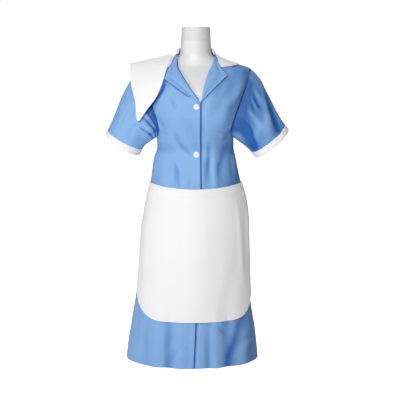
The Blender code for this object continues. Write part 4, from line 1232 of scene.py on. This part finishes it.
buttonSizes = {
    "radius": 9.8,
    "topHeight": 902,
    "spacing": 164,
    "count": 5,
    "insetFromEdge": 12.5,
    "holeRadius": 1.15,
    "holePitch": 3.4,
    # share of the radius and rise, from the middle of the dish round the rim to the back
    "profile": (
        (0, 1.5), (0.45, 1.5), (0.56, 1.62), (0.64, 2.1), (0.70, 2.5), (0.78, 2.68), (0.88, 2.6),
        (0.96, 2.2), (1, 1.6), (1, 1.0), (0.95, 0.45), (0.86, 0.15), (0, 0.15),
    ),
    "holeLength": 23,
    "holeWidth": 3.4,
}


def buttonPlace(number):
    height = (buttonSizes["topHeight"] - buttonSizes["spacing"] * number) * mm
    row = dressPattern["lapEnd"] * height / (dressPattern["lapEndHeight"] * mm)
    x = readTable(dressPattern["rightCentre"], 1, row) * mm
    x = x - buttonSizes["insetFromEdge"] * mm
    angle = angleAt(np.array([x]), np.array([height]))
    foot = onBody(angle, np.array([height]), 0.4 * mm)[0]
    ahead = onBody(angle, np.array([height]), 10 * mm)[0]
    return Vector(foot), Vector(ahead - foot).normalized()


def modelButton():
    # a turned profile with four holes cut through
    radius = buttonSizes["radius"]
    button = turnProfile([(share * radius, rise) for share, rise in buttonSizes["profile"]], 64)
    for across in (-0.5, 0.5):
        for up in (-0.5, 0.5):
            bpy.ops.object.select_all(action="DESELECT")
            place = (across * buttonSizes["holePitch"] * mm, up * buttonSizes["holePitch"] * mm, 0.0)
            bpy.ops.mesh.primitive_cylinder_add(vertices=20, radius=buttonSizes["holeRadius"] * mm,
                                                depth=12 * mm, location=place)
            drill = bpy.context.object
            cut = button.modifiers.new("hole", "BOOLEAN")
            cut.operation = "DIFFERENCE"
            cut.object = drill
            bpy.context.view_layer.objects.active = button
            bpy.ops.object.modifier_apply(modifier=cut.name)
            bpy.data.objects.remove(drill)
    selectOnly(button)
    bpy.ops.object.shade_smooth_by_angle(angle=math.radians(35))
    return button


def modelTube(name, path, radius, sides=10, closed=False):
    # a round thread along a path, made from a curve
    curve = bpy.data.curves.new(name, "CURVE")
    curve.dimensions = "3D"
    curve.bevel_depth = radius
    curve.bevel_resolution = max(1, sides // 4)
    curve.use_fill_caps = True
    spline = curve.splines.new("POLY")
    spline.points.add(len(path) - 1)
    for point, place in zip(spline.points, path):
        point.co = (*place, 1.0)
    spline.use_cyclic_u = closed
    thread = bpy.data.objects.new(name, curve)
    bpy.context.scene.collection.objects.link(thread)
    selectOnly(thread)
    bpy.ops.object.convert(target="MESH")
    return bpy.context.object


def threadCross():
    # two stitches through the four holes, one across the other, and a shank below
    pitch = buttonSizes["holePitch"] * mm / 2.0
    threads = []
    for lean, rise in ((1, 0.0), (-1, 0.35)):
        for shift in (-0.22, 0.22):
            path = []
            for i in range(13):
                t = i / 12.0
                along = between(-pitch, pitch, t)
                dive = 1.9 * mm * (abs(2.0 * t - 1.0) ** 6)
                height = 1.5 * mm - dive + (0.55 + rise) * mm * math.sin(math.pi * t)
                path.append((along + shift * mm, along * lean - shift * lean * mm, height))
            threads.append(modelTube("thread", path, 0.27 * mm, 8))
    selectOnly(threads[0])
    for thread in threads[1:]:
        thread.select_set(True)
    bpy.ops.object.join()
    return threads[0]


def buttonhole():
    # a worked buttonhole: a slot with a raised bar of close stitches all round
    path = []
    halfRun = (buttonSizes["holeLength"] - buttonSizes["holeWidth"]) / 2.0 * mm
    halfWidth = (buttonSizes["holeWidth"] - 1.3) / 2.0 * mm
    teeth = 150
    for i in range(teeth):
        t = i / teeth
        run = 2.0 * halfRun
        bend = math.pi * halfWidth
        along = t * 2.0 * (run + bend)
        if along < run:
            place = (along - halfRun, -halfWidth)
        elif along < run + bend:
            turn = (along - run) / halfWidth - math.pi / 2.0
            place = (halfRun + halfWidth * math.cos(turn), halfWidth * math.sin(turn))
        elif along < 2.0 * run + bend:
            place = (halfRun - (along - run - bend), halfWidth)
        else:
            turn = (along - 2.0 * run - bend) / halfWidth + math.pi / 2.0
            place = (-halfRun + halfWidth * math.cos(turn), halfWidth * math.sin(turn))
        path.append((place[0], place[1], (0.12 + 0.10 * (i % 2)) * mm))
    return modelTube("buttonhole", path, 0.55 * mm, 8, closed=True)


def putCopy(model, name, foot, facing, material):
    # a copy with its own mesh, turned to face outwards, its place left in the mesh
    piece = bpy.data.objects.new(name, model.data.copy())
    bpy.context.scene.collection.objects.link(piece)
    turned = facing.to_track_quat("Z", "Y").to_matrix().to_4x4()
    turned.translation = foot
    piece.data.transform(turned)
    piece.data.name = name
    piece.data.materials.clear()
    piece.data.materials.append(material)
    settle(piece)
    return piece


def makeButtons():
    button, cross, slit = modelButton(), threadCross(), buttonhole()
    for number in range(buttonSizes["count"]):
        foot, facing = buttonPlace(number)
        label = str(number + 1)
        piece = putCopy(button, "button" + label, foot, facing, buttonPlastic)
        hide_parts("button_" + label)
        putCopy(cross, "buttonThread" + label, foot, facing, whiteThread)
        shifted = foot + Vector((-3.0 * mm, 0.0, 0.0)) - facing * 0.35 * mm
        putCopy(slit, "buttonhole" + label, shifted, facing, blueThread)
    for model in (button, cross, slit):
        bpy.data.objects.remove(model)
    print("buttons made")


apronPattern = {
    "lift": 2.6,
    "overButtons": 2.9,
    "hanging": 2.6,
    "edgeAngle": 96,
    "top": 620,
    "bottom": 163,
    "band": 28,
    "tucked": 1.5,
    "thickness": 0.8,
    "bandThickness": 1.9,
    "hem": 6,
    # soft folds: angle at top and bottom in degrees, top z, bottom z, width in degrees, rise
    "folds": (
        (51, 59, 596, 250, 4.5, 3.4),
        (64, 68, 600, 280, 5.0, -2.6),
        (76, 76, 600, 380, 3.6, 1.8),
        (55, 26, 430, 150, 8.0, -2.6),
        (-60, -64, 596, 330, 4.5, 1.0),
        (-78, -76, 600, 360, 4.0, -1.0),
        (18, 12, 560, 200, 9.0, 0.8),
        (-24, -20, 560, 220, 10.0, 0.7),
    ),
    # fine gathers under the band: first and full angle, spacing in degrees, rise, reach down
    "gatherFrom": (38, 62.0),
    "gatherSpacing": 2.6,
    "gatherRise": 1.1,
    "gatherReach": 26,
    # puckers above the hem: spacing in degrees, rise, reach up
    "puckerSpacing": 5.2,
    "puckerRise": 1.1,
    "puckerReach": 15,
    "deepest": 2.4,
    # the lower corners: angle where the hem begins to rise, and how much it rises to the edge
    "rightCorner": (27.0, 174.0),
    "leftCorner": (36.0, 118.0),
    "grid": (190, 120),
    "bandGrid": (190, 18),
    "flat": (0.74, 0.44),
    "area": 0.234,
    "bandFlat": (0.486, 0.029),
}
tieSizes = {
    "width": 22,
    "start": 0.004,
    "endAngle": 175,
    "thickness": 0.8,
    "grid": (70, 14),
    "loopGrid": (80, 16),
    "tailGrid": (16, 90),
    "flat": (0.202, 0.022),
    "area": 0.0038,
    "loopFlat": (0.134, 0.030),
    "loopArea": 0.0029,
    "tailFlat": (0.0225, 0.240),
    "tailArea": 0.0042,
}
bowSizes = {
    "proud": 8.0,
    "knot": (19, 10.5, 23),
    "knotFlat": (0.027, 0.026),
    # the loops: where they start, reach, half opening, droop, width at the knot and at the end
    "loopStart": 10.6,
    "loopReach": 62,
    "loopOpening": 5.5,
    "loopDroop": 14,
    "loopWidth": (15, 30),
    # the tails: how far below the middle they start, length, place and spread, width at top and end
    "tailStart": 13.8,
    "tailLength": 235,
    "tailPlace": 9,
    "tailSpread": 34,
    "tailWidth": (13, 22),
}


def apronLift(angle, height):
    across = bareBody(angle, height, False)[:, 0]
    overButtons = apronPattern["overButtons"] * mm * np.exp(-((across / (42 * mm)) ** 4))
    hanging = apronPattern["hanging"] * mm * (1.0 - ramp(height, apronPattern["bottom"] * mm, 320 * mm))
    return apronPattern["lift"] * mm + overButtons + hanging


def waistbandTop(angle):
    return (apronPattern["top"] + 14 * np.sin(angle) ** 2) * mm


def apronBottom(angle):
    # the corner on the wearer's right is cut away more
    right, left = apronPattern["rightCorner"], apronPattern["leftCorner"]
    begin = np.where(angle < 0.0, right[0], left[0])
    rise = np.where(angle < 0.0, right[1], left[1])
    corner = (np.degrees(np.abs(angle)) - begin) / (apronPattern["edgeAngle"] - begin)
    corner = np.clip(corner, 0.0, 1.0)
    return (apronPattern["bottom"] + rise * corner ** 2.1) * mm


def apronFolds(angle, height, top, bottom):
    degrees = np.degrees(angle)
    rise = np.zeros_like(height)
    for topAngle, bottomAngle, topZ, bottomZ, width, amount in apronPattern["folds"]:
        t = (topZ * mm - height) / ((topZ - bottomZ) * mm)
        inside = np.clip(t, 0.0, 1.0)
        away = (degrees - between(topAngle, bottomAngle, inside)) / (width * (0.7 + 0.6 * inside))
        rise += amount * mm * np.sin(np.pi * inside) * np.exp(-away ** 2)
    below = top - height
    gathers = unevenWave(degrees, apronPattern["gatherSpacing"])
    gathers = gathers * ramp(np.abs(degrees), *apronPattern["gatherFrom"])
    nearBand = np.exp(-((below / (apronPattern["gatherReach"] * mm)) ** 2))
    rise += apronPattern["gatherRise"] * mm * gathers * nearBand
    above = height - bottom
    puckers = unevenWave(degrees + above / mm * 0.12, apronPattern["puckerSpacing"])
    puckers = puckers * (0.35 + 0.65 * ramp(degrees, 4.0, 22.0))
    nearHem = np.exp(-((above / (apronPattern["puckerReach"] * mm)) ** 2))
    fade = 1.0 - ramp(np.abs(degrees), 60.0, 84.0)
    rise += apronPattern["puckerRise"] * mm * puckers * nearHem * fade
    return np.maximum(rise, -apronPattern["deepest"] * mm)


def apronSurface(u, v):
    angle = np.radians(apronPattern["edgeAngle"]) * (2.0 * u - 1.0)
    top = waistbandTop(angle) - (apronPattern["band"] - apronPattern["tucked"]) * mm
    bottom = apronBottom(angle)
    height = between(bottom, top, v)
    return onBody(angle, height, apronLift(angle, height) + apronFolds(angle, height, top, bottom))


def waistbandSurface(u, v):
    angle = np.radians(apronPattern["edgeAngle"]) * (2.0 * u - 1.0)
    height = waistbandTop(angle) - apronPattern["band"] * mm * (1.0 - v)
    puff = 0.5 * mm * np.sin(np.pi * v) + 0.22 * mm * unevenWave(np.degrees(angle), 3.9) * np.sin(np.pi * v)
    return onBody(angle, height, apronLift(angle, height) + 1.0 * mm + puff)


def tieSurface(side):
    def surface(u, v):
        start = np.radians(apronPattern["edgeAngle"]) + tieSizes["start"]
        share = u if side > 0 else 1.0 - u
        angle = between(start, np.radians(tieSizes["endAngle"]), share) * side
        middle = waistbandTop(angle) - apronPattern["band"] / 2.0 * mm
        height = middle + tieSizes["width"] * mm * (v - 0.5) * (1.0 - 0.35 * share)
        folds = 0.5 * mm * np.sin(3.0 * np.pi * v) * ramp(share, 0.35, 1.0)
        return onBody(angle, height, apronPattern["lift"] * mm + 0.2 * mm + folds)

    return surface


def bowMiddle():
    height = waistbandTop(np.pi) - apronPattern["band"] / 2.0 * mm
    return onBody(np.array([np.pi]), np.array([height]), bowSizes["proud"] * mm)[0]


def bowLoopSurface(side):
    start, reach = bowSizes["loopStart"] * mm, bowSizes["loopReach"] * mm
    knotWidth, endWidth = bowSizes["loopWidth"]

    def surface(u, v):
        turn = 2.0 * np.pi * (u if side < 0 else 1.0 - u)
        out = (1.0 - np.cos(turn)) / 2.0
        x = side * (start + reach * out)
        belly = np.sin(np.pi * np.clip(out, 0.0, 1.0)) ** 0.3
        y = bowSizes["loopOpening"] * mm * np.sin(turn) * belly
        pinch = (1.0 - out) ** 2
        y = y + 1.2 * mm * np.sin(3.0 * np.pi * v) * pinch * np.sin(turn)
        droop = -bowSizes["loopDroop"] * mm * out ** 1.5
        width = between(knotWidth, endWidth, out) * mm
        middle = bowMiddle()
        places = [middle[0] + x, middle[1] + y + 0.4 * mm, middle[2] + droop + width * (v - 0.5)]
        return np.stack(places, axis=-1)

    return surface


def tailSurface(side):
    def surface(u, v):
        middle = bowMiddle()
        drop = 1.0 - v
        height = middle[2] - bowSizes["tailStart"] * mm - bowSizes["tailLength"] * mm * drop
        place, spread = bowSizes["tailPlace"] * mm, bowSizes["tailSpread"] * mm
        x = middle[0] + side * (place + spread * drop + 5 * mm * np.sin(5.0 * drop))
        x = x - (u - 0.5) * between(*bowSizes["tailWidth"], drop) * mm
        angle = angleAt(x, height, back=True)
        fold = 0.7 * mm * np.sin(2.0 * np.pi * u) * (1.0 - drop) ** 2
        return onBody(angle, height, 5.5 * mm + 2.5 * mm * np.sin(4.0 * np.pi * drop) * drop + fold)

    return surface


def makeKnot():
    # the wrapped middle of the bow: a rounded block pinched by the turns of the tie
    bpy.ops.object.select_all(action="DESELECT")
    bpy.ops.mesh.primitive_cube_add(size=1.0, location=(0, 0, 0))
    knot = bpy.context.object
    knot.name = "apronBowKnot"
    knot.data.name = "apronBowKnot"
    knot.scale = [size * mm for size in bowSizes["knot"]]
    bpy.ops.object.transform_apply(location=False, rotation=False, scale=True)
    startEditing()
    bpy.ops.mesh.subdivide(number_cuts=9)
    bpy.ops.object.mode_set(mode="OBJECT")
    middle = bowMiddle()
    for vertex in knot.data.vertices:
        x, y, z = (place / (size / 2.0 * mm) for place, size in zip(vertex.co, bowSizes["knot"]))
        shrink = 1.0 - 0.16 * (x * x + z * z) / 2.0
        crease = 1.0 + 0.05 * math.sin(9.0 * x + 1.5 * z)
        waist = 1.0 - 0.10 * (1.0 - z * z)
        vertex.co.x *= waist * (1.0 - 0.10 * y * y)
        vertex.co.y *= shrink * crease
        vertex.co.z *= 1.0 - 0.08 * x * x
        vertex.co += Vector(middle)
    smooth = knot.modifiers.new("softer", "SUBSURF")
    smooth.levels = 1
    smooth.render_levels = 1
    bpy.ops.object.modifier_apply(modifier=smooth.name)
    knot.data.shade_smooth()
    knot.data.materials.clear()
    knot.data.materials.append(whiteCloth)
    settle(knot)
    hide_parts("apron_bow_knot")


def makeApron():
    hem = ("hem", apronPattern["hem"])
    fold = ("fold", 0)
    panel, points = makeSheet("apronPanel", apronSurface, *apronPattern["grid"],
                              apronPattern["thickness"], whiteCloth, "white_cloth",
                              {"start": hem, "end": hem, "bottom": hem}, ease=(0.35, 0.55))
    for edge in ("bottom", "start", "end"):
        noteStitches(points, edge, apronPattern["hem"], "white", skip=6.0)
    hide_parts("apron_panel")
    edges = {"start": fold, "end": fold, "bottom": ("hem", 2.5), "top": ("hem", 2.5)}
    band, points = makeSheet("apronWaistband", waistbandSurface, *apronPattern["bandGrid"],
                             apronPattern["bandThickness"], whiteCloth, "white_cloth", edges,
                             ease=(0.0, 0.4))
    noteStitches(points, "bottom", 2.5, "white")
    noteStitches(points, "top", 2.5, "white")
    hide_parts("apron_waistband")
    for name, side in (("right", -1), ("left", 1)):
        title = name.capitalize()
        edges = {"bottom": fold, "top": fold}
        thickness = tieSizes["thickness"]
        tie, points = makeSheet("apronTie" + title, tieSurface(side), *tieSizes["grid"], thickness,
                                whiteCloth, "white_cloth", edges, ease=(0.0, 0.4))
        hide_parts("apron_tie_" + name)
        loop, points = makeSheet("apronBowLoop" + title, bowLoopSurface(side), *tieSizes["loopGrid"],
                                 thickness, whiteCloth, "white_cloth", edges, closed=True,
                                 ease=(0.0, 0.4))
        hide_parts("apron_bow_loop_" + name)
        edges = {"start": fold, "end": fold, "bottom": ("hem", 5.0)}
        tail, points = makeSheet("apronTail" + title, tailSurface(side), *tieSizes["tailGrid"],
                                 thickness, whiteCloth, "white_cloth", edges, ease=(0.4, 0.2))
        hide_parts("apron_tail_" + name)
    makeKnot()
    print("apron made")


scarfPattern = {
    # rows down from the shoulder fold: row, left x, y, z, right x, y, z
    "front": (
        (0, -226, -1, 1044.5, -84, -1, 1077),
        (0.06, -226, -13, 1039, -84, -18, 1072),
        (0.16, -226, -28, 1020, -90, -46, 1053),
        (0.30, -224, -45, 988, -101, -68, 1024),
        (0.45, -216, -62, 953, -113, -84, 984),
        (0.65, -206, -77, 910, -134, -88, 934),
        (0.85, -204, -84, 873, -167, -86, 890),
        (1, -200, -84, 852, -192, -85, 854),
    ),
    "back": (
        (0, -226, -1, 1044.5, -84, -1, 1077),
        (0.06, -226, 13, 1038, -84, 20, 1072),
        (0.16, -225, 30, 1020, -86, 50, 1054),
        (0.30, -221, 50, 990, -92, 78, 1028),
        (0.45, -213, 70, 960, -104, 96, 992),
        (0.65, -202, 88, 926, -124, 108, 950),
        (0.85, -190, 98, 896, -150, 112, 910),
        (1, -181, 100, 877, -172, 112, 880),
    ),
    "under": ("dressFrontRight", "dressBackRight", "sleeveRight", "shirtCollar"),
    # the line on the front beside the scarf's edge where its shadow is painted, and how far that painted
    # shadow reaches
    "shadeLine": ((-106, 988), (-115, 958), (-134, 930), (-163, 888)),
    "shadeReach": 4.4,
    "clear": 2.2,
    "castFrom": 300,  # how far out the clear height is looked for
    "leastSlope": 0.45,
    "coarse": (18, 48),
    "thickness": 1.0,
    "grid": (70, 190),
    "flat": (0.146, 0.56),
    "area": 0.0480,
}


def widest(grid):
    padded = np.pad(grid, 1, mode="edge")
    rows, columns = grid.shape
    return np.maximum.reduce([padded[i:i + rows, j:j + columns] for i in range(3) for j in range(3)])


def evened(grid):
    padded = np.pad(grid, 1, mode="edge")
    rows, columns = grid.shape
    return sum(padded[i:i + rows, j:j + columns] for i in range(3) for j in range(3)) / 9.0


def scarfPlaces(u, v):
    points = np.zeros((len(u), 3))
    for half, table in ((v <= 0.5, scarfPattern["front"]), (v > 0.5, scarfPattern["back"])):
        row = np.abs(v[half] - 0.5) * 2.0
        for axis in range(3):
            first = readTable(table, 1 + axis, row)
            second = readTable(table, 4 + axis, row)
            points[half, axis] = between(first, second, u[half]) * mm
    lean = np.clip((v - 0.5) * 6.0, -1.0, 1.0) * np.pi / 2.0
    return points, np.stack([0.0 * u, np.sin(lean), np.cos(lean)], axis=-1)


def scarfRises():
    # how far a coarse grid has to move out to lie clear of what is under it
    across, along = scarfPattern["coarse"]
    u, v = np.meshgrid(np.linspace(0, 1, across + 1), np.linspace(0, 1, along + 1))
    points, directions = scarfPlaces(u.ravel(), v.ravel())
    reach = scarfPattern["castFrom"] * mm
    needed = np.zeros(len(points))
    for i, point in enumerate(points):
        outwards = Vector(directions[i])
        start = Vector(point) + outwards * reach
        for name in scarfPattern["under"]:
            hit, normal, face, away = outerFaces[name].ray_cast(start, -outwards, 2.0 * reach)
            if hit is not None:
                slope = max(abs(normal.dot(outwards)), scarfPattern["leastSlope"])
                needed[i] = max(needed[i], reach - away + scarfPattern["clear"] * mm / slope)
    rises = widest(needed.reshape(u.shape))
    for _ in range(2):
        rises = np.maximum(evened(rises), evened(evened(rises)))
    return rises


def scarfSurface(u, v):
    rises = scarfRises()
    rows, columns = rises.shape
    atRow = np.clip(v * (rows - 1), 0, rows - 1.000001)
    atColumn = np.clip(u * (columns - 1), 0, columns - 1.000001)
    row, column = atRow.astype(int), atColumn.astype(int)
    down, side = atRow - row, atColumn - column
    upper = between(rises[row, column], rises[row, column + 1], side)
    lower = between(rises[row + 1, column], rises[row + 1, column + 1], side)
    points, directions = scarfPlaces(u, v)
    return points + directions * between(upper, lower, down)[:, None]


def makeScarf():
    hem = ("hem", 6.0)
    edges = {"start": hem, "end": hem, "bottom": hem, "top": hem}
    scarf, points = makeSheet("headScarf", scarfSurface, *scarfPattern["grid"],
                              scarfPattern["thickness"], whiteCloth, "white_cloth", edges,
                              ease=(0.4, 0.1))
    for edge in ("end", "start"):
        noteStitches(points, edge, 6.0, "white", skip=8.0)
    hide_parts("scarf")
    print("scarf made")


formShape = {
    "bottom": 520,
    "top": 1169,
    "capFront": 1123,
    "capBack": 1151,
    "jointGap": 0.5,
    "armholeLip": 26,
    "grid": (120, 170),
    # how far the skin lies inside the cloth: height, gap at the sides and back
    "clearances": (
        (500, 14), (636, 12), (751, 8), (865, 7.5), (950, 7), (1010, 9.5), (1026, 12), (1041, 5),
        (1052, 3.9), (1066, 5), (1079, 8.5), (1098, 6), (1169, 5),
    ),
    "frontClearances": (
        (500, 14), (636, 12), (751, 8), (865, 7.5), (950, 7), (990, 8), (1010, 7.6), (1026, 6.0),
        (1041, 4.4), (1052, 3.4), (1066, 3.6), (1079, 4.6), (1098, 5.6), (1169, 5),
    ),
}
standSizes = {
    "poleRadius": 12.5,
    "baseRadius": 132,
    "baseHeight": 12,
    "collarRadius": 21,
    "collarHeight": 26,
}


def formSkin(u, v):
    height = between(formShape["bottom"], formShape["top"], v) * mm
    angle = np.arctan2(np.sin(2.0 * np.pi * u), np.cos(2.0 * np.pi * u))
    clearance = between(readTable(formShape["frontClearances"], 1, height / mm),
                        readTable(formShape["clearances"], 1, height / mm),
                        ramp(np.abs(angle), 0.7, 1.1)) * mm
    nearEnd = 1.0 - np.clip((height / mm - formShape["bottom"]) / 12.0, 0.0, 1.0)
    clearance = clearance + 10 * mm * (1.0 - np.sqrt(1.0 - nearEnd ** 2 * 0.999))
    lip = formShape["armholeLip"]
    dip = np.where(angle > 0.0, armholeDip(angle, height, 1, lip), armholeDip(angle, height, -1, lip))
    return onBody(angle, height, -clearance - dip)


def makeFormPiece(name, node, keepAbove, material):
    piece, points, places = layGrid(name, formSkin, *formShape["grid"], ease=(0.0, 0.45), closed=True)
    points[:, -1] = points[:, 0]
    points[-1, :, 2] = formShape["top"] * mm
    piece.data.vertices.foreach_set("co", points.ravel())
    across = sectionAt(3, np.array([formShape["capFront"] * mm]))[0]
    slope = (formShape["capBack"] - formShape["capFront"]) * mm / (2.0 * across)
    normal = Vector((0.0, -slope, 1.0)).normalized()
    middle = Vector((0.0, 0.0, (formShape["capFront"] + formShape["capBack"]) / 2.0 * mm))
    offset = formShape["jointGap"] / 2.0 * mm * (1.0 if keepAbove else -1.0)
    startEditing()
    bpy.ops.mesh.remove_doubles(threshold=0.01 * mm)
    bpy.ops.mesh.select_all(action="SELECT")
    bpy.ops.mesh.bisect(plane_co=middle + normal * offset, plane_no=normal,
                        clear_inner=keepAbove, clear_outer=not keepAbove)
    bpy.ops.mesh.select_all(action="DESELECT")
    bpy.ops.mesh.select_non_manifold()
    bpy.ops.mesh.fill_holes(sides=0)
    bpy.ops.mesh.select_all(action="SELECT")
    bpy.ops.mesh.normals_make_consistent(inside=False)
    bpy.ops.object.mode_set(mode="OBJECT")
    roundEdges(piece, 1.0 * mm, 3, 50)
    piece.data.materials.clear()
    piece.data.materials.append(material)
    piece.data.shade_smooth()
    bpy.ops.object.shade_smooth_by_angle(angle=math.radians(40))
    settle(piece)
    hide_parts(node)


def makeStandPiece(name, profile, node, steps):
    piece = turnProfile(profile, steps)
    piece.name = name
    piece.data.name = name
    bpy.ops.object.shade_smooth_by_angle(angle=math.radians(35))
    piece.data.materials.append(standSteel)
    settle(piece)
    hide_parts(node)


def makeForm():
    makeFormPiece("formTorso", "form_torso", False, formPlastic)
    makeFormPiece("formNeckCap", "form_neck_cap", True, capPlastic)
    base, height = standSizes["baseRadius"], standSizes["baseHeight"]
    makeStandPiece("formBase", (
        (0, 0), (base - 2.5, 0), (base - 0.7, 0.7), (base, 2.5), (base, height - 3.5),
        (base - 1, height - 1.3), (base - 3.5, height - 0.2), (base - 8, height), (0, height),
    ), "form_base", 96)
    pole, collar, rise = standSizes["poleRadius"], standSizes["collarRadius"], standSizes["collarHeight"]
    makeStandPiece("formPole", (
        (0, height + 0.3), (collar - 1, height + 0.3), (collar, height + 1.3), (collar, height + rise - 6),
        (collar - 1.5, height + rise - 2), (pole + 3, height + rise), (pole + 0.6, height + rise),
        (pole, height + rise + 1), (pole, formShape["bottom"] - 0.4), (0, formShape["bottom"] - 0.4),
    ), "form_pole", 48)
    print("form and stand made")


def makeStitches(name, runs, material):
    # one long joined mesh of small stitches, each a four-sided bead stretched along its line
    length, radius = sewing["stitchLength"] * mm, sewing["threadRadius"] * mm
    rings = ((-0.5, 0.0), (-0.36, 0.85), (0.0, 1.0), (0.36, 0.85), (0.5, 0.0))
    beadCorners = 14
    corners = []
    faces = []
    for path, facing, skip in runs:
        arc = np.concatenate([[0.0], np.cumsum(np.linalg.norm(np.diff(path, axis=0), axis=1))])
        places = np.arange(skip * mm + length, arc[-1] - skip * mm - length, sewing["stitchPitch"] * mm)
        for place in places:
            first, second = (
                Vector([np.interp(place + s * length / 2.0, arc, path[:, axis]) for axis in range(3)])
                for s in (-1, 1)
            )
            middle = (first + second) / 2.0
            along = second - first
            outwards = Vector([np.interp(place, arc, facing[:, axis]) for axis in range(3)]).normalized()
            across = along.normalized().cross(outwards).normalized()
            start = len(corners)
            for t, share in rings:
                centre = middle + along * t + outwards * (0.10 * mm * (share - 0.6))
                if share == 0.0:
                    corners.append(centre)
                    continue
                for turn in range(4):
                    swing = math.pi / 4.0 + turn * math.pi / 2.0
                    corners.append(centre + across * radius * share * math.cos(swing)
                                   + outwards * radius * share * math.sin(swing))
            for turn in range(4):
                after = (turn + 1) % 4
                faces.append((start, start + 1 + after, start + 1 + turn))
                for ring in range(2):
                    low = start + 1 + 4 * ring
                    faces.append((low + turn, low + after, low + 4 + after, low + 4 + turn))
                faces.append((start + 9 + turn, start + 9 + after, start + 13))
    bpy.ops.object.select_all(action="DESELECT")
    bpy.ops.mesh.primitive_plane_add(size=0.01)
    piece = bpy.context.object
    piece.name = name
    piece.data.name = name
    piece.data.clear_geometry()
    piece.data.from_pydata([tuple(c) for c in corners], [], faces)
    startEditing()
    bpy.ops.mesh.normals_make_consistent(inside=False)
    bpy.ops.object.mode_set(mode="OBJECT")
    piece.data.shade_smooth()
    piece.data.materials.append(material)
    settle(piece)
    print(name, len(corners) // beadCorners, "stitches")


studio = {
    "camera": (0.014, -4.0, 1.169),
    "tilt": 81.445,
    "lens": 103.5,
    "sensor": 36,
    "floorSize": 40,
    # name, place, aimed at, width, height, watts, colour
    "lights": (
        ("keyLight", (-0.5, -3.75, 2.2), (0.0, 0.0, 0.62), 0.9, 1.2, 120, (1.0, 0.999, 0.996)),
        ("sideLight", (-3.2, -1.7, 1.6), (0.0, 0.0, 0.75), 1.2, 1.8, 34, (1.0, 1.0, 1.0)),
        ("backLight", (0.2, 1.8, 3.8), (0.0, 0.0, 0.7), 2.4, 1.6, 44, (1.0, 1.0, 1.0)),
        ("rearLight", (-0.6, 3.6, 2.0), (0.0, 0.0, 0.66), 1.2, 1.2, 46, (1.0, 1.0, 1.0)),
    ),
    "worldStrength": 0.15,
    "floorLift": 1.05,
}


def makeStudio():
    bpy.ops.object.select_all(action="DESELECT")
    bpy.ops.mesh.primitive_plane_add(size=studio["floorSize"], location=(0, 0, 0))
    floor = bpy.context.object
    floor.name = "floor"
    material, shader = newMaterial("paleFloor", 0.85, (0.93, 0.93, 0.93, 1.0))
    shader.inputs["Emission Color"].default_value = (1.0, 1.0, 1.0, 1.0)
    seenFloor = material.node_tree.nodes.new("ShaderNodeLightPath").outputs["Is Camera Ray"]
    lifted = rangeOf(material.node_tree, seenFloor, 0.0, 1.0, 0.0, studio["floorLift"])
    material.node_tree.links.new(lifted, shader.inputs["Emission Strength"])
    floor.data.materials.append(material)
    for name, place, aim, width, height, watts, color in studio["lights"]:
        lamp = bpy.data.lights.new(name, "AREA")
        lamp.shape = "RECTANGLE"
        lamp.size = width
        lamp.size_y = height
        lamp.energy = watts
        lamp.color = color
        holder = bpy.data.objects.new(name, lamp)
        holder.location = place
        holder.rotation_euler = (Vector(aim) - Vector(place)).to_track_quat("-Z", "Y").to_euler()
        bpy.context.scene.collection.objects.link(holder)
    world = bpy.data.worlds.new("studioAir")
    world.use_nodes = True
    tree = world.node_tree
    air = tree.nodes["Background"]
    seen = tree.nodes.new("ShaderNodeLightPath").outputs["Is Camera Ray"]
    air.inputs["Color"].default_value = (1.0, 1.0, 1.0, 1.0)
    tree.links.new(rangeOf(tree, seen, 0.0, 1.0, studio["worldStrength"], 1.0), air.inputs["Strength"])
    bpy.context.scene.world = world
    bpy.context.scene.view_settings.view_transform = "Standard"
    lens = bpy.data.cameras.new("photoCamera")
    lens.lens = studio["lens"]
    lens.sensor_width = studio["sensor"]
    camera = bpy.data.objects.new("photoCamera", lens)
    camera.location = studio["camera"]
    camera.rotation_euler = (math.radians(studio["tilt"]), 0.0, 0.0)
    bpy.context.scene.collection.objects.link(camera)
    bpy.context.scene.camera = camera
    print("studio made")


makeStudio()
makeDressBody()
makeSleeves()
makeCollarAndLapels()
makeButtons()
makeForm()
makeApron()
makeScarf()
makeStitches("dressStitches", stitchRuns["blue"], blueThread)
makeStitches("whiteStitches", stitchRuns["white"], whiteThread)
